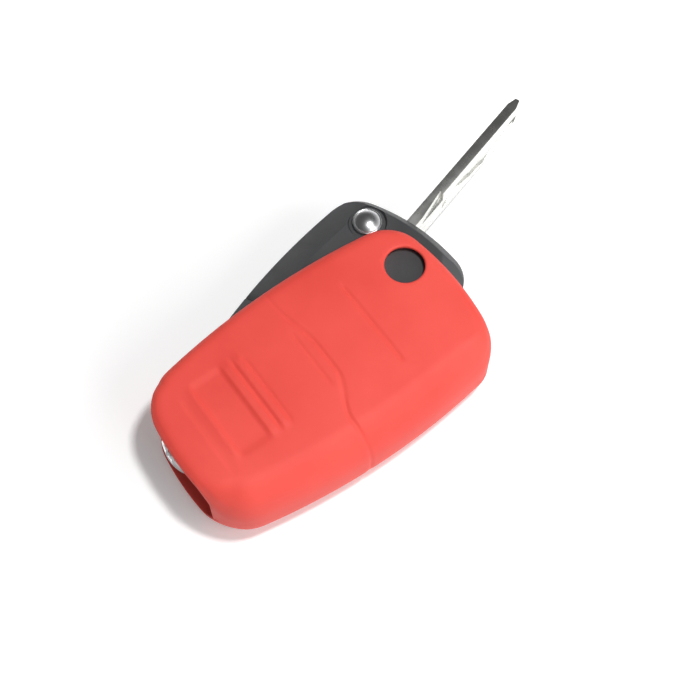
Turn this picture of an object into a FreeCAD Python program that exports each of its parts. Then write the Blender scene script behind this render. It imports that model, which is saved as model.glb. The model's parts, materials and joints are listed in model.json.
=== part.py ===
import FreeCAD, Part
import math
import os
from collections import namedtuple

# Key fob cover: a soft silicone sleeve with the flip key that it is made for.
# Millimetres. +Z is up through the cover's front face, +Y runs to its head end, where the blade comes out.
# The origin is the centre of the cover's back. The key is drawn in its own frame, with its origin at the
# centre of its underside, and then set down half swung out of the cover.

os.makedirs("parts", exist_ok=True)
Vec = FreeCAD.Vector
UP = Vec(0, 0, 1)
FAR = 100.0
Outline = namedtuple("Outline", "width length head_left_r head_right_r tail_left_r tail_right_r "
                                "side_bow_r widest_y end_bow_r")

# Key body: a remote module at the tail and a head module that holds the blade
KEY_W = 38.2
HEAD_L = 36.7
REMOTE_L = 32.3
KEY_T = 16.5
KEY_HEAD_LEFT_R = 8.4
KEY_HEAD_RIGHT_R = 7.4
KEY_TAIL_R = 10.0
KEY_END_BOW_R = 46.0
UNDER_BEVEL = 2.6
UNDER_BEVEL_Z = 3.0
SIDE_BEVEL_T = 3.6
SIDE_BEVEL_IN = 6.2
END_BEVEL_T = 3.3
END_BEVEL_IN = 2.4
REAR_SHELL_T = 8.25

# Silicone cover
COVER_WALL = 1.8
COVER_FRONT_T = 1.9
COVER_BACK_T = 1.6
SIDE_CLEAR = 0.2
TAIL_CLEAR = 0.55
HEAD_IN = 0.05
FACE_CLEAR = 0.12
COVER_HEAD_LEFT_R = 9.2
COVER_HEAD_RIGHT_R = 7.2
COVER_TAIL_LEFT_R = 11.0
COVER_TAIL_RIGHT_R = 10.0
COVER_SIDE_BOW_R = 160.0
COVER_END_BOW_R = 64.0
COVER_WIDEST_UP = 5.0
COVER_FRONT_EDGE_R = 3.0
COVER_FRONT_EDGE_STEPS = 3
COVER_BACK_EDGE_R = 2.4
COVER_BACK_EDGE_STEPS = 2
SIDE_MOUTH_FROM_TAIL = 10.4
HEAD_MOUTH_FROM_SIDE = 12.1
RING_MOUTH_FROM_LEFT = 7.6
RING_MOUTH_FROM_RIGHT = 11.6
RELEASE_HOLE_R = 4.4
EMBOSS_DEPTH = 0.4
SEAM_W = 0.6
PANEL_LINE_UP = 15.9
PAD_FROM_LEFT = 9.1
PAD_FROM_RIGHT = 13.1
PAD_R = 1.5
LOW_PAD_FROM_TAIL = 9.9
LOW_PAD_L = 7.6
RIDGE_GAP = 0.9
RIDGE_W = 3.4
RIDGE_H = 0.35

# How the key lies in the cover: turned out about a place near the cover's tail left corner
HOOK_FROM_SIDE = 4.3
HOOK_FROM_TAIL = 15.0
SWING_DEG = 16.2

# Flip blade and its pivot
PIVOT_FROM_SIDE = 10.8
PIVOT_FROM_HEAD = 7.2
BLADE_OFFSET = 6.55
TIP_FROM_TAIL = 11.9
BLADE_T = 2.4
BLADE_H = 8.6
BLADE_Z = 3.6
BLADE_TIP_L = 3.2
BLADE_TIP_TOP_L = 0.9
BLADE_TIP_T = 0.6
TANG_T = 1.4
TANG_L = 5.5
ARM_CHEEK_T = 0.75
ARM_BACK = 2.6
ARM_FRONT = 5.8
HUB_R = 6.0
HUB_Z_CLEAR = 0.25
SWEEP_CLEAR = 0.45
SWEEP_Z_CLEAR = 0.3
TIP_CLEAR = 2.0
ROLL_PIN_R = 0.6
ROLL_PIN_L = 4.5
RELIEF_START = 3.0
RELIEF_L = 8.0
RELIEF_DEPTH = 0.9
RELIEF_H = 3.0
TRACK_W = 2.0
TRACK_DEPTH = 0.5
TRACK_STEP = 1.2
TRACK_RAMP_L = 2.4

# Release button, its spring and the pivot pin
DOME_R = 3.2
DOME_RISE = 1.3
DOME_STEPS = 3
BUTTON_RUN = 0.05
FLANGE_R = 4.0
FLANGE_T = 1.0
FLANGE_ROOF_T = 2.3
DISH_R = 4.4
DISH_DEPTH = 0.7
SHANK_R = 2.2
SHANK_L = 2.0
HUB_BORE_R = 4.3
HUB_FLOOR_T = 1.65
PIN_R = 1.5
PIN_FOOT_Z = 1.6
PIN_TOP_Z = 9.3
SPRING_R = 3.0
SPRING_WIRE_W = 0.8
SPRING_WIRE_H = 0.7
SPRING_TURNS = 4
SPRING_SIDES = 16
SPRING_END_GAP = 0.3

# Remote module
CHANNEL_WALL = 1.5
ROOM_FROM_SIDE = 5.7
ROOM_WALL = 1.4
ROOM_FROM_TAIL = 3.1
ROOM_FROM_HEAD = 1.6
ROOM_FLOOR_Z = 1.6
ROOM_ROOF_T = 1.8
ROOM_R = 3.0
BOARD_T = 1.0
BOARD_Z = 7.4
BOARD_CLEAR = 0.5
REST_W = 2.2
REST_IN = 1.9
CELL_R = 8.0
CELL_T = 2.0
CELL_LIFT = 0.3
CONTACT_T = 0.4
CONTACT_W = 4.0
KEYPAD_SIDE_IN = 4.2
KEYPAD_END_IN = 1.8
KEYPAD_GAP = 1.6
KEYPAD_R = 1.8
KEYPAD_CLEAR = 0.2
KEYPAD_LIP = 0.6
KEYPAD_LIP_T = 0.9
KEYPAD_LIP_GAP = 0.05
KEYPAD_TRAVEL = 0.6
STEM_W = 3.0
SWITCH_W = 4.4
SWITCH_T = 2.0
PLUNGER_W = 1.8
PLUNGER_T = 0.6
PLUNGER_GAP = 0.05
LENS_R = 0.7
LENS_FLANGE_W = 2.4
LENS_FLANGE_T = 0.8
LENS_CLEAR = 0.3
LAMP_W = 1.2
LAMP_T = 0.8
PACKAGE_W = 4.2
PACKAGE_L = 4.8
PACKAGE_T = 1.2
PACKAGE_GAP = 1.2

# Key ring bracket
BRACKET_FROM_SIDE = 12.1
BRACKET_W = 12.0
BRACKET_OUT = 5.4
BRACKET_T = 4.0
BRACKET_Z = 6.2
BRACKET_END_R = 9.0
BRACKET_EDGE = 0.7
BRACKET_ROOT = 2.2
EYE_R = 1.9
EYE_RIM = 1.4

# Head module
HEAD_WALL = 2.3
HEAD_ROOM_FROM_SIDE = 5.6
HEAD_ROOM_FROM_REMOTE = 5.0
HEAD_ROOM_FROM_HEAD = 11.5
HEAD_ROOM_Z = 2.2
HEAD_ROOM_H = 12.0
HEAD_ROOM_R = 1.8
CAPSULE_R = 1.5
CAPSULE_L = 12.0
SCREW_FROM_SIDE = 10.0
SCREW_FROM_HEAD = 5.6
SCREW_R = 1.0
SCREW_HEAD_R = 1.9
SCREW_HEAD_T = 0.9
SCREW_SINK_T = 1.3
SCREW_TOP_Z = 12.0

# Sizes that follow for the key
KEY_L = HEAD_L + REMOTE_L
TAIL_Y = -KEY_L / 2
HEAD_Y = KEY_L / 2
SIDE_X = KEY_W / 2
MODULE_Y = TAIL_Y + REMOTE_L
END_BEVEL_Z = KEY_T - END_BEVEL_T
PIVOT_X = -SIDE_X + PIVOT_FROM_SIDE
PIVOT_Y = HEAD_Y - PIVOT_FROM_HEAD
BLADE_X = PIVOT_X + BLADE_OFFSET
BLADE_TOP_Z = BLADE_Z + BLADE_H
TIP_Y = 2 * PIVOT_Y - TAIL_Y - TIP_FROM_TAIL
ARM_REACH_X = BLADE_OFFSET + TANG_T / 2 + ARM_CHEEK_T
SWEEP_R = math.hypot(ARM_REACH_X, ARM_BACK) + SWEEP_CLEAR
SWEEP_FLOOR_Z = BLADE_Z - SWEEP_Z_CLEAR
SWEEP_TOP_Z = BLADE_TOP_Z + SWEEP_Z_CLEAR
CHANNEL_FLOOR_X = PIVOT_X - BLADE_OFFSET + TANG_T / 2 + ARM_CHEEK_T + SWEEP_CLEAR
HUB_FOOT_Z = BLADE_Z + HUB_Z_CLEAR
HUB_TOP_Z = BLADE_TOP_Z - HUB_Z_CLEAR
HUB_FLOOR_Z = HUB_FOOT_Z + HUB_FLOOR_T
FLANGE_SEAT_Z = KEY_T - FLANGE_ROOF_T
FLANGE_TOP_Z = FLANGE_SEAT_Z - BUTTON_RUN
FLANGE_FOOT_Z = FLANGE_TOP_Z - FLANGE_T
ROOM_LEFT_X = CHANNEL_FLOOR_X + CHANNEL_WALL
ROOM_RIGHT_X = SIDE_X - ROOM_FROM_SIDE
ROOM_TAIL_Y = TAIL_Y + ROOM_FROM_TAIL
ROOM_HEAD_Y = MODULE_Y - ROOM_FROM_HEAD
ROOM_CEILING_Z = KEY_T - ROOM_ROOF_T
ROOM_X = (ROOM_LEFT_X + ROOM_RIGHT_X) / 2
ROOM_Y = (ROOM_TAIL_Y + ROOM_HEAD_Y) / 2
BOARD_TOP_Z = BOARD_Z + BOARD_T
CELL_Z = ROOM_FLOOR_Z + CELL_LIFT
KEYPAD_W = ROOM_RIGHT_X - ROOM_LEFT_X - 2 * KEYPAD_SIDE_IN
KEYPAD_PITCH = (ROOM_HEAD_Y - ROOM_TAIL_Y - 2 * KEYPAD_END_IN) / 3
KEYPAD_L = KEYPAD_PITCH - KEYPAD_GAP
KEYPAD_YS = [ROOM_Y + step * KEYPAD_PITCH for step in (1, 0, -1)]
LIP_TOP_Z = ROOM_CEILING_Z - KEYPAD_LIP_GAP
PLUNGER_TOP_Z = BOARD_TOP_Z + SWITCH_T + PLUNGER_T
STEM_FOOT_Z = PLUNGER_TOP_Z + KEYPAD_TRAVEL + PLUNGER_GAP
LENS_X = ROOM_X + KEYPAD_W / 2 + KEYPAD_LIP + LENS_CLEAR + LENS_FLANGE_W / 2
LENS_Y = KEYPAD_YS[0]
BRACKET_X = -SIDE_X + BRACKET_FROM_SIDE
NOSE_Y = TAIL_Y - BRACKET_OUT
HEAD_ROOM_LEFT_X = PIVOT_X + SWEEP_R + HEAD_WALL
HEAD_ROOM_RIGHT_X = SIDE_X - HEAD_ROOM_FROM_SIDE
HEAD_ROOM_TAIL_Y = MODULE_Y + HEAD_ROOM_FROM_REMOTE
HEAD_ROOM_HEAD_Y = HEAD_Y - HEAD_ROOM_FROM_HEAD
SCREW_X = SIDE_X - SCREW_FROM_SIDE
SCREW_Y = HEAD_Y - SCREW_FROM_HEAD

# Sizes that follow for the cover
COVER_W = KEY_W + 2 * (SIDE_CLEAR + COVER_WALL)
COVER_L = KEY_L + COVER_WALL + TAIL_CLEAR + HEAD_IN
COVER_H = COVER_BACK_T + KEY_T + 2 * FACE_CLEAR + COVER_FRONT_T
CEILING_Z = COVER_H - COVER_FRONT_T
COVER_TAIL_Y = -COVER_L / 2
COVER_LEFT_X = -COVER_W / 2
COVER_RIGHT_X = COVER_W / 2
KEY_FIT_Y = COVER_TAIL_Y + COVER_WALL + TAIL_CLEAR - TAIL_Y
KEY_FIT_Z = COVER_BACK_T + FACE_CLEAR
HOOK = Vec(COVER_LEFT_X + HOOK_FROM_SIDE, COVER_TAIL_Y + HOOK_FROM_TAIL, 0)
SEAM_Y = MODULE_Y + KEY_FIT_Y
PANEL_LINE_Y = SEAM_Y + PANEL_LINE_UP
PAD_LEFT_X = COVER_LEFT_X + PAD_FROM_LEFT
PAD_RIGHT_X = COVER_RIGHT_X - PAD_FROM_RIGHT
LOW_PAD_TAIL_Y = COVER_TAIL_Y + LOW_PAD_FROM_TAIL
LOW_PAD_HEAD_Y = LOW_PAD_TAIL_Y + LOW_PAD_L
RIDGE_TAIL_Y = LOW_PAD_HEAD_Y + RIDGE_GAP

NEST = COVER_WALL + SIDE_CLEAR
COVER_OUTLINE = Outline(COVER_W, COVER_L, COVER_HEAD_LEFT_R, COVER_HEAD_RIGHT_R, COVER_TAIL_LEFT_R,
                        COVER_TAIL_RIGHT_R, COVER_SIDE_BOW_R, COVER_WIDEST_UP, COVER_END_BOW_R)
KEY_OUTLINE = Outline(KEY_W, KEY_L, KEY_HEAD_LEFT_R, KEY_HEAD_RIGHT_R, KEY_TAIL_R, KEY_TAIL_R,
                      COVER_SIDE_BOW_R - NEST, COVER_WIDEST_UP - KEY_FIT_Y, KEY_END_BOW_R)


def box(x0, x1, y0, y1, z0, z1):
    return Part.makeBox(x1 - x0, y1 - y0, z1 - z0, Vec(x0, y0, z0))


def drum(x, y, radius, z0, z1):
    return Part.makeCylinder(radius, z1 - z0, Vec(x, y, z0))


def upright_bar(x, y, width, z0, z1):
    """A square bar that stands on a place."""
    return box(x - width / 2, x + width / 2, y - width / 2, y + width / 2, z0, z1)


def edges_at(shape, z):
    """The edges of a shape that lie flat at one height."""
    return [e for e in shape.Edges if all(abs(v.Z - z) < 1e-6 for v in e.Vertexes)]


def upright_edges(shape):
    return [e for e in shape.Edges if abs(e.BoundBox.ZLength - shape.BoundBox.ZLength) < 1e-6]


def rounded_slab(x0, x1, y0, y1, z0, z1, radius):
    slab = box(x0, x1, y0, y1, z0, z1)
    return slab.makeFillet(radius, upright_edges(slab))


def circles_meet(c1, r1, c2, r2):
    """The two points where two circles cross."""
    gap = c2 - c1
    along = (r1 * r1 - r2 * r2 + gap.Length ** 2) / (2 * gap.Length)
    aside = math.sqrt(r1 * r1 - along * along)
    foot = c1 + gap * (along / gap.Length)
    across = Vec(-gap.y, gap.x, 0) * (aside / gap.Length)
    return foot + across, foot - across


def outline_corner(outline, side, end, corner_r, z, inset):
    """Where a corner's arc leaves the side, its middle, and where it meets the end."""
    side_c = Vec(outline.width / 2 - outline.side_bow_r, outline.widest_y, z)
    end_c = Vec(0, end * (outline.length / 2 - outline.end_bow_r), z)
    crossings = circles_meet(side_c, outline.side_bow_r - corner_r, end_c, outline.end_bow_r - corner_r)
    corner_c = max(crossings, key=lambda p: end * p.y)
    to_side = (corner_c - side_c).normalize()
    to_end = (corner_c - end_c).normalize()
    to_middle = (to_side + to_end).normalize()
    points = (side_c + to_side * (outline.side_bow_r - inset), corner_c + to_middle * (corner_r - inset),
              end_c + to_end * (outline.end_bow_r - inset))
    return [Vec(side * p.x, p.y, p.z) for p in points]


def outline_wire(outline, z, inset=0.0):
    """A rounded outline of eight tangent arcs: bowed sides, bowed ends and four corners."""
    head_right = outline_corner(outline, 1, 1, outline.head_right_r, z, inset)
    head_left = outline_corner(outline, -1, 1, outline.head_left_r, z, inset)
    tail_left = outline_corner(outline, -1, -1, outline.tail_left_r, z, inset)
    tail_right = outline_corner(outline, 1, -1, outline.tail_right_r, z, inset)
    side_x = outline.width / 2 - inset
    end_y = outline.length / 2 - inset
    arcs = [(tail_right[0], Vec(side_x, outline.widest_y, z), head_right[0]), head_right,
            (head_right[2], Vec(0, end_y, z), head_left[2]), head_left[::-1],
            (head_left[0], Vec(-side_x, outline.widest_y, z), tail_left[0]), tail_left,
            (tail_left[2], Vec(0, -end_y, z), tail_right[2]), tail_right[::-1]]
    return Part.Wire([Part.Arc(*points).toShape() for points in arcs])


def outline_prism(outline, z0, z1, inset=0.0):
    return Part.Face(outline_wire(outline, z0, inset)).extrude(UP * (z1 - z0))


def edge_levels(radius, steps):
    """Inset and depth of each level of an edge rounded in a few bevels, from its end face to its side."""
    turns = [math.pi / 2 * step / steps for step in range(steps + 1)]
    return [(radius * (1 - math.sin(turn)), radius * (1 - math.cos(turn))) for turn in turns]


def set_down(shape):
    """Moves a piece from the key's own frame to where the key lies, swung out of the cover."""
    placed = shape.copy()
    placed.translate(Vec(0, KEY_FIT_Y, KEY_FIT_Z))
    placed.rotate(HOOK, UP, SWING_DEG)
    return placed


def save(name, shape):
    shape.exportStep("parts/" + name + ".step")


# Silicone cover
def cover_block(inset):
    """The cover's outer form with rounded edges, or the same form a little smaller all over."""
    back = edge_levels(COVER_BACK_EDGE_R - inset, COVER_BACK_EDGE_STEPS)
    front = edge_levels(COVER_FRONT_EDGE_R - inset, COVER_FRONT_EDGE_STEPS)
    levels = [(inward, depth + inset) for inward, depth in back]
    levels += [(inward, COVER_H - inset - depth) for inward, depth in reversed(front)]
    return Part.makeLoft([outline_wire(COVER_OUTLINE, z, inset + inward) for inward, z in levels], True, True)


def cover_mouths():
    """The side and head mouth that the key and blade swing through, and the mouth for the key ring."""
    side = box(-FAR, 0, COVER_TAIL_Y + SIDE_MOUTH_FROM_TAIL, FAR, COVER_BACK_T, CEILING_Z)
    head = box(-FAR, COVER_RIGHT_X - HEAD_MOUTH_FROM_SIDE, 0, FAR, COVER_BACK_T, CEILING_Z)
    ring = box(COVER_LEFT_X + RING_MOUTH_FROM_LEFT, COVER_RIGHT_X - RING_MOUTH_FROM_RIGHT, -FAR, 0,
               COVER_BACK_T, CEILING_Z)
    return side.fuse(head).fuse(ring)


def make_cover():
    """A sleeve with a closed right side, open on the left and at the head, embossed on its front."""
    outer = cover_block(0)
    pocket = outline_prism(COVER_OUTLINE, COVER_BACK_T, CEILING_Z, COVER_WALL)
    cover = outer.cut(pocket.fuse(cover_mouths()))
    cover = cover.cut(drum(PIVOT_X, PIVOT_Y + KEY_FIT_Y, RELEASE_HOLE_R, 0, FAR).common(
        box(-FAR, FAR, -FAR, FAR, CEILING_Z, FAR)))
    emboss_z = COVER_H - EMBOSS_DEPTH
    seam = box(PAD_LEFT_X, FAR, SEAM_Y - SEAM_W / 2, SEAM_Y + SEAM_W / 2, COVER_BACK_EDGE_R, FAR)
    seam = outer.cut(cover_block(EMBOSS_DEPTH)).common(seam)
    panel_line = box(PAD_LEFT_X, PAD_RIGHT_X, PANEL_LINE_Y - SEAM_W / 2, PANEL_LINE_Y + SEAM_W / 2,
                     emboss_z, FAR)
    low_pad = rounded_slab(PAD_LEFT_X, PAD_RIGHT_X, LOW_PAD_TAIL_Y, LOW_PAD_HEAD_Y, emboss_z, FAR, PAD_R)
    ridge = rounded_slab(PAD_LEFT_X, PAD_RIGHT_X, RIDGE_TAIL_Y, RIDGE_TAIL_Y + RIDGE_W,
                         COVER_H - COVER_FRONT_T / 2, COVER_H + RIDGE_H, PAD_R)
    return cover.cut(seam).cut(panel_line).cut(low_pad).fuse(ridge)


# Key body shells
def side_bevel(side):
    """A wide cone about the centre of one side's bow: what lies outside it is bevelled away."""
    bow = KEY_OUTLINE.side_bow_r
    centre = Vec(side * (KEY_W / 2 - bow), KEY_OUTLINE.widest_y, 0)
    slope = SIDE_BEVEL_IN / SIDE_BEVEL_T
    return Part.makeCone(bow + slope * (KEY_T - SIDE_BEVEL_T), bow - SIDE_BEVEL_IN, KEY_T, centre)


def key_block():
    """The whole key body: an under bevel, upright sides, a narrow bevel all round and wide side bevels."""
    levels = [(0, UNDER_BEVEL), (UNDER_BEVEL_Z, 0), (END_BEVEL_Z, 0), (KEY_T, END_BEVEL_IN)]
    block = Part.makeLoft([outline_wire(KEY_OUTLINE, z, inset) for z, inset in levels], True, True)
    return block.common(side_bevel(1)).common(side_bevel(-1))


def blade_way():
    """The slot that the blade swings through: round the pivot, out at the head and down the left side."""
    turning = drum(PIVOT_X, PIVOT_Y, SWEEP_R, SWEEP_FLOOR_Z, SWEEP_TOP_Z)
    out = box(-FAR, PIVOT_X + ARM_REACH_X + SWEEP_CLEAR, PIVOT_Y, FAR, SWEEP_FLOOR_Z, SWEEP_TOP_Z)
    folded = box(-FAR, CHANNEL_FLOOR_X, TAIL_Y + TIP_FROM_TAIL - TIP_CLEAR, PIVOT_Y, SWEEP_FLOOR_Z, SWEEP_TOP_Z)
    return turning.fuse(out).fuse(folded)


def module(block, front, head):
    """One quarter of the key body: the front or rear half of the head or the remote module."""
    y0, y1 = (MODULE_Y, FAR) if head else (-FAR, MODULE_Y)
    z0, z1 = (REAR_SHELL_T, FAR) if front else (-FAR, REAR_SHELL_T)
    return block.common(box(-FAR, FAR, y0, y1, z0, z1))


def head_room():
    return rounded_slab(HEAD_ROOM_LEFT_X, HEAD_ROOM_RIGHT_X, HEAD_ROOM_TAIL_Y, HEAD_ROOM_HEAD_Y,
                        HEAD_ROOM_Z, HEAD_ROOM_Z + HEAD_ROOM_H, HEAD_ROOM_R)


def room_slab(inset, z0, z1):
    """A slab with the remote room's plan, which follows the shell's wall round the tail corner."""
    slab = rounded_slab(ROOM_LEFT_X + inset, ROOM_RIGHT_X - inset, ROOM_TAIL_Y + inset, ROOM_HEAD_Y - inset,
                        z0, z1, ROOM_R - inset)
    return slab.common(outline_prism(KEY_OUTLINE, z0, z1, UNDER_BEVEL + ROOM_WALL + inset))


def remote_room():
    return room_slab(0, ROOM_FLOOR_Z, ROOM_CEILING_Z)


def release_well():
    """The stepped hole that guides the release button, with a shallow dish round it."""
    guide = drum(PIVOT_X, PIVOT_Y, DOME_R + BUTTON_RUN, FLANGE_SEAT_Z, FAR)
    seat = drum(PIVOT_X, PIVOT_Y, HUB_BORE_R, SWEEP_FLOOR_Z, FLANGE_SEAT_Z)
    dish = Part.makeCone(DISH_R - DISH_DEPTH / 2, DISH_R, DISH_DEPTH,
                         Vec(PIVOT_X, PIVOT_Y, KEY_T - DISH_DEPTH))
    return guide.fuse(seat).fuse(dish)


def make_head_shells(block):
    screw_hole = drum(SCREW_X, SCREW_Y, SCREW_R, 0, SCREW_TOP_Z)
    screw_sink = drum(SCREW_X, SCREW_Y, SCREW_HEAD_R, 0, SCREW_SINK_T)
    pin_hole = drum(PIVOT_X, PIVOT_Y, PIN_R, PIN_FOOT_Z, FAR)
    front = module(block, True, True).cut(head_room()).cut(release_well()).cut(screw_hole)
    rear = module(block, False, True).cut(head_room()).cut(pin_hole).cut(screw_hole.fuse(screw_sink))
    return front, rear


def bracket_lug():
    """A rounded metal plate that stands out of the tail and is rooted between the shells."""
    half_w = BRACKET_W / 2
    shoulder_y = NOSE_Y + BRACKET_END_R - math.sqrt(BRACKET_END_R ** 2 - half_w ** 2)
    root_y = TAIL_Y + BRACKET_ROOT
    left, right = BRACKET_X - half_w, BRACKET_X + half_w
    corners = [Vec(right, shoulder_y, BRACKET_Z), Vec(right, root_y, BRACKET_Z),
               Vec(left, root_y, BRACKET_Z), Vec(left, shoulder_y, BRACKET_Z)]
    sides = [Part.makeLine(a, b) for a, b in zip(corners, corners[1:])]
    nose = Part.Arc(corners[3], Vec(BRACKET_X, NOSE_Y, BRACKET_Z), corners[0])
    return Part.Face(Part.Wire(sides + [nose.toShape()])).extrude(UP * BRACKET_T)


def make_bracket():
    """The lug with bevelled edges and an upright eye for a key ring."""
    lug = bracket_lug()
    lug = lug.makeChamfer(BRACKET_EDGE, edges_at(lug, BRACKET_Z) + edges_at(lug, BRACKET_Z + BRACKET_T))
    return lug.cut(drum(BRACKET_X, NOSE_Y + EYE_RIM + EYE_R, EYE_R, 0, KEY_T))


def board_rests():
    """Four square posts in the corners of the remote room that carry the board."""
    return [upright_bar(x, y, REST_W, ROOM_FLOOR_Z, BOARD_Z)
            for x in (ROOM_LEFT_X + REST_IN, ROOM_RIGHT_X - REST_IN)
            for y in (ROOM_TAIL_Y + REST_IN, ROOM_HEAD_Y - REST_IN)]


def keypad_slab(y, grow, z0, z1):
    """A round-cornered slab with a button's plan, grown by a little all round."""
    half_w = KEYPAD_W / 2 + grow
    half_l = KEYPAD_L / 2 + grow
    return rounded_slab(ROOM_X - half_w, ROOM_X + half_w, y - half_l, y + half_l, z0, z1, KEYPAD_R)


def make_remote_shells(block):
    front = module(block, True, False).cut(remote_room()).cut(bracket_lug())
    for y in KEYPAD_YS:
        front = front.cut(keypad_slab(y, KEYPAD_CLEAR, REAR_SHELL_T, FAR))
    front = front.cut(drum(LENS_X, LENS_Y, LENS_R, REAR_SHELL_T, FAR))
    rear = module(block, False, False).cut(remote_room()).cut(bracket_lug())
    return front, rear.fuse(board_rests()).removeSplitter()


# Blade, hub and release button
def prism(points, direction):
    """A straight-sided block on a flat outline of points."""
    return Part.Face(Part.makePolygon(points + points[:1])).extrude(direction)


def make_blade():
    """A flat blade on edge, with a tang in the hub, a side relief, a milled track and a pointed tip."""
    root_y = PIVOT_Y + ARM_FRONT
    left, right = BLADE_X - BLADE_T / 2, BLADE_X + BLADE_T / 2
    blade = prism([Vec(left, root_y, BLADE_Z), Vec(left, TIP_Y - BLADE_TIP_L, BLADE_Z),
                   Vec(left, TIP_Y, BLADE_Z + BLADE_TIP_L), Vec(left, TIP_Y, BLADE_TOP_Z - BLADE_TIP_TOP_L),
                   Vec(left, TIP_Y - BLADE_TIP_TOP_L, BLADE_TOP_Z), Vec(left, root_y, BLADE_TOP_Z)],
                  Vec(BLADE_T, 0, 0))
    for side in (-1, 1):
        face_x = BLADE_X + side * BLADE_T / 2
        wedge = [Vec(face_x, TIP_Y - BLADE_TIP_L, 0), Vec(face_x, TIP_Y, 0),
                 Vec(BLADE_X + side * BLADE_TIP_T / 2, TIP_Y, 0)]
        blade = blade.cut(prism(wedge, UP * KEY_T))
    relief_y = HEAD_Y + RELIEF_START
    relief_end_y = relief_y + RELIEF_L
    relief = [Vec(right, relief_y, BLADE_TOP_Z), Vec(right, relief_end_y, BLADE_TOP_Z),
              Vec(right - RELIEF_DEPTH, relief_end_y, BLADE_TOP_Z)]
    tang = box(BLADE_X - TANG_T / 2, BLADE_X + TANG_T / 2, root_y - TANG_L, root_y, HUB_FOOT_Z, HUB_TOP_Z)
    blade = blade.cut(prism(relief, UP * -RELIEF_H)).cut(blade_track(relief_end_y))
    return blade.fuse(tang).removeSplitter().cut(roll_pin())


def blade_track(start_y):
    """A milled track on both broad faces, from the relief to the tip, that ramps up and down."""
    middle_z = BLADE_Z + BLADE_H / 2 - TRACK_STEP
    steps = (0, 1, 0, -1, 0, 1)
    run = (TIP_Y - start_y) / len(steps)
    line = []
    for index, step in enumerate(steps):
        z = middle_z + step * TRACK_STEP
        line += [(start_y + index * run, z), (start_y + (index + 1) * run - TRACK_RAMP_L, z)]
    line.append((TIP_Y, line[-1][1]))
    cuts = []
    for face_x in (BLADE_X - BLADE_T / 2, BLADE_X + BLADE_T / 2 - TRACK_DEPTH):
        lower = [Vec(face_x, y, z - TRACK_W / 2) for y, z in line]
        upper = [Vec(face_x, y, z + TRACK_W / 2) for y, z in reversed(line)]
        cuts.append(prism(lower + upper, Vec(TRACK_DEPTH, 0, 0)))
    return cuts[0].fuse(cuts[1])


def make_hub():
    """The turning hub: a drum on the pin, bored for the spring and button, with an arm that grips the tang."""
    arm_front_y = PIVOT_Y + ARM_FRONT
    arm = box(PIVOT_X, PIVOT_X + ARM_REACH_X, PIVOT_Y - ARM_BACK, arm_front_y, HUB_FOOT_Z, HUB_TOP_Z)
    hub = drum(PIVOT_X, PIVOT_Y, HUB_R, HUB_FOOT_Z, HUB_TOP_Z).fuse(arm).removeSplitter()
    hub = hub.cut(drum(PIVOT_X, PIVOT_Y, HUB_BORE_R, HUB_FLOOR_Z, FAR))
    hub = hub.cut(drum(PIVOT_X, PIVOT_Y, PIN_R + BUTTON_RUN, 0, FAR))
    tang_slot = box(BLADE_X - TANG_T / 2, BLADE_X + TANG_T / 2, arm_front_y - TANG_L, FAR,
                    HUB_FOOT_Z, HUB_TOP_Z)
    return hub.cut(tang_slot).cut(roll_pin())


def roll_pin():
    end = Vec(PIVOT_X + ARM_REACH_X, PIVOT_Y + ARM_FRONT - TANG_L / 2, BLADE_Z + BLADE_H / 2)
    return Part.makeCylinder(ROLL_PIN_R, ROLL_PIN_L, end, Vec(-1, 0, 0))


def make_release_button():
    """A turned button: a dome of a few bevels, a flange that stops it in its well and a shank over the pin."""
    ball_r = (DOME_R ** 2 + DOME_RISE ** 2) / (2 * DOME_RISE)
    ball_z = KEY_T + DOME_RISE - ball_r
    reach = math.asin(DOME_R / ball_r)
    turns = [reach * step / DOME_STEPS for step in range(DOME_STEPS, -1, -1)]
    dome = [(ball_r * math.sin(turn), ball_z + ball_r * math.cos(turn)) for turn in turns]
    shank_foot_z = FLANGE_FOOT_Z - SHANK_L
    profile = [(0, shank_foot_z), (SHANK_R, shank_foot_z), (SHANK_R, FLANGE_FOOT_Z), (FLANGE_R, FLANGE_FOOT_Z),
               (FLANGE_R, FLANGE_TOP_Z), (DOME_R, FLANGE_TOP_Z)] + dome
    points = [Vec(PIVOT_X + radius, PIVOT_Y, z) for radius, z in profile]
    face = Part.Face(Part.makePolygon(points + points[:1]))
    return face.revolve(Vec(PIVOT_X, PIVOT_Y, 0), UP, 360)


def make_spring():
    """A coil of flat wire in short straight runs, between the hub's floor and the button's flange."""
    foot_z = HUB_FLOOR_Z + SPRING_END_GAP + SPRING_WIRE_H / 2
    top_z = FLANGE_FOOT_Z - SPRING_END_GAP - SPRING_WIRE_H / 2
    runs = SPRING_TURNS * SPRING_SIDES
    path = []
    for run in range(runs + 1):
        angle = 2 * math.pi * run / SPRING_SIDES
        path.append(Vec(PIVOT_X + SPRING_R * math.cos(angle), PIVOT_Y + SPRING_R * math.sin(angle),
                        foot_z + (top_z - foot_z) * run / runs))
    across = Vec(SPRING_WIRE_W / 2, 0, 0)
    rise = UP * (SPRING_WIRE_H / 2)
    start = path[0]
    corners = [start - across - rise, start + across - rise, start + across + rise, start - across + rise]
    section = Part.makePolygon(corners + corners[:1])
    mitred = 1
    return Part.makePolygon(path).makePipeShell([section], True, False, mitred)


# Remote module
def make_board():
    return room_slab(BOARD_CLEAR, BOARD_Z, BOARD_TOP_Z)


def make_switches():
    switches = []
    for y in KEYPAD_YS:
        body = upright_bar(ROOM_X, y, SWITCH_W, BOARD_TOP_Z, BOARD_TOP_Z + SWITCH_T)
        plunger = upright_bar(ROOM_X, y, PLUNGER_W, BOARD_TOP_Z + SWITCH_T, PLUNGER_TOP_Z)
        switches.append(body.fuse(plunger))
    return Part.makeCompound(switches)


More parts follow.
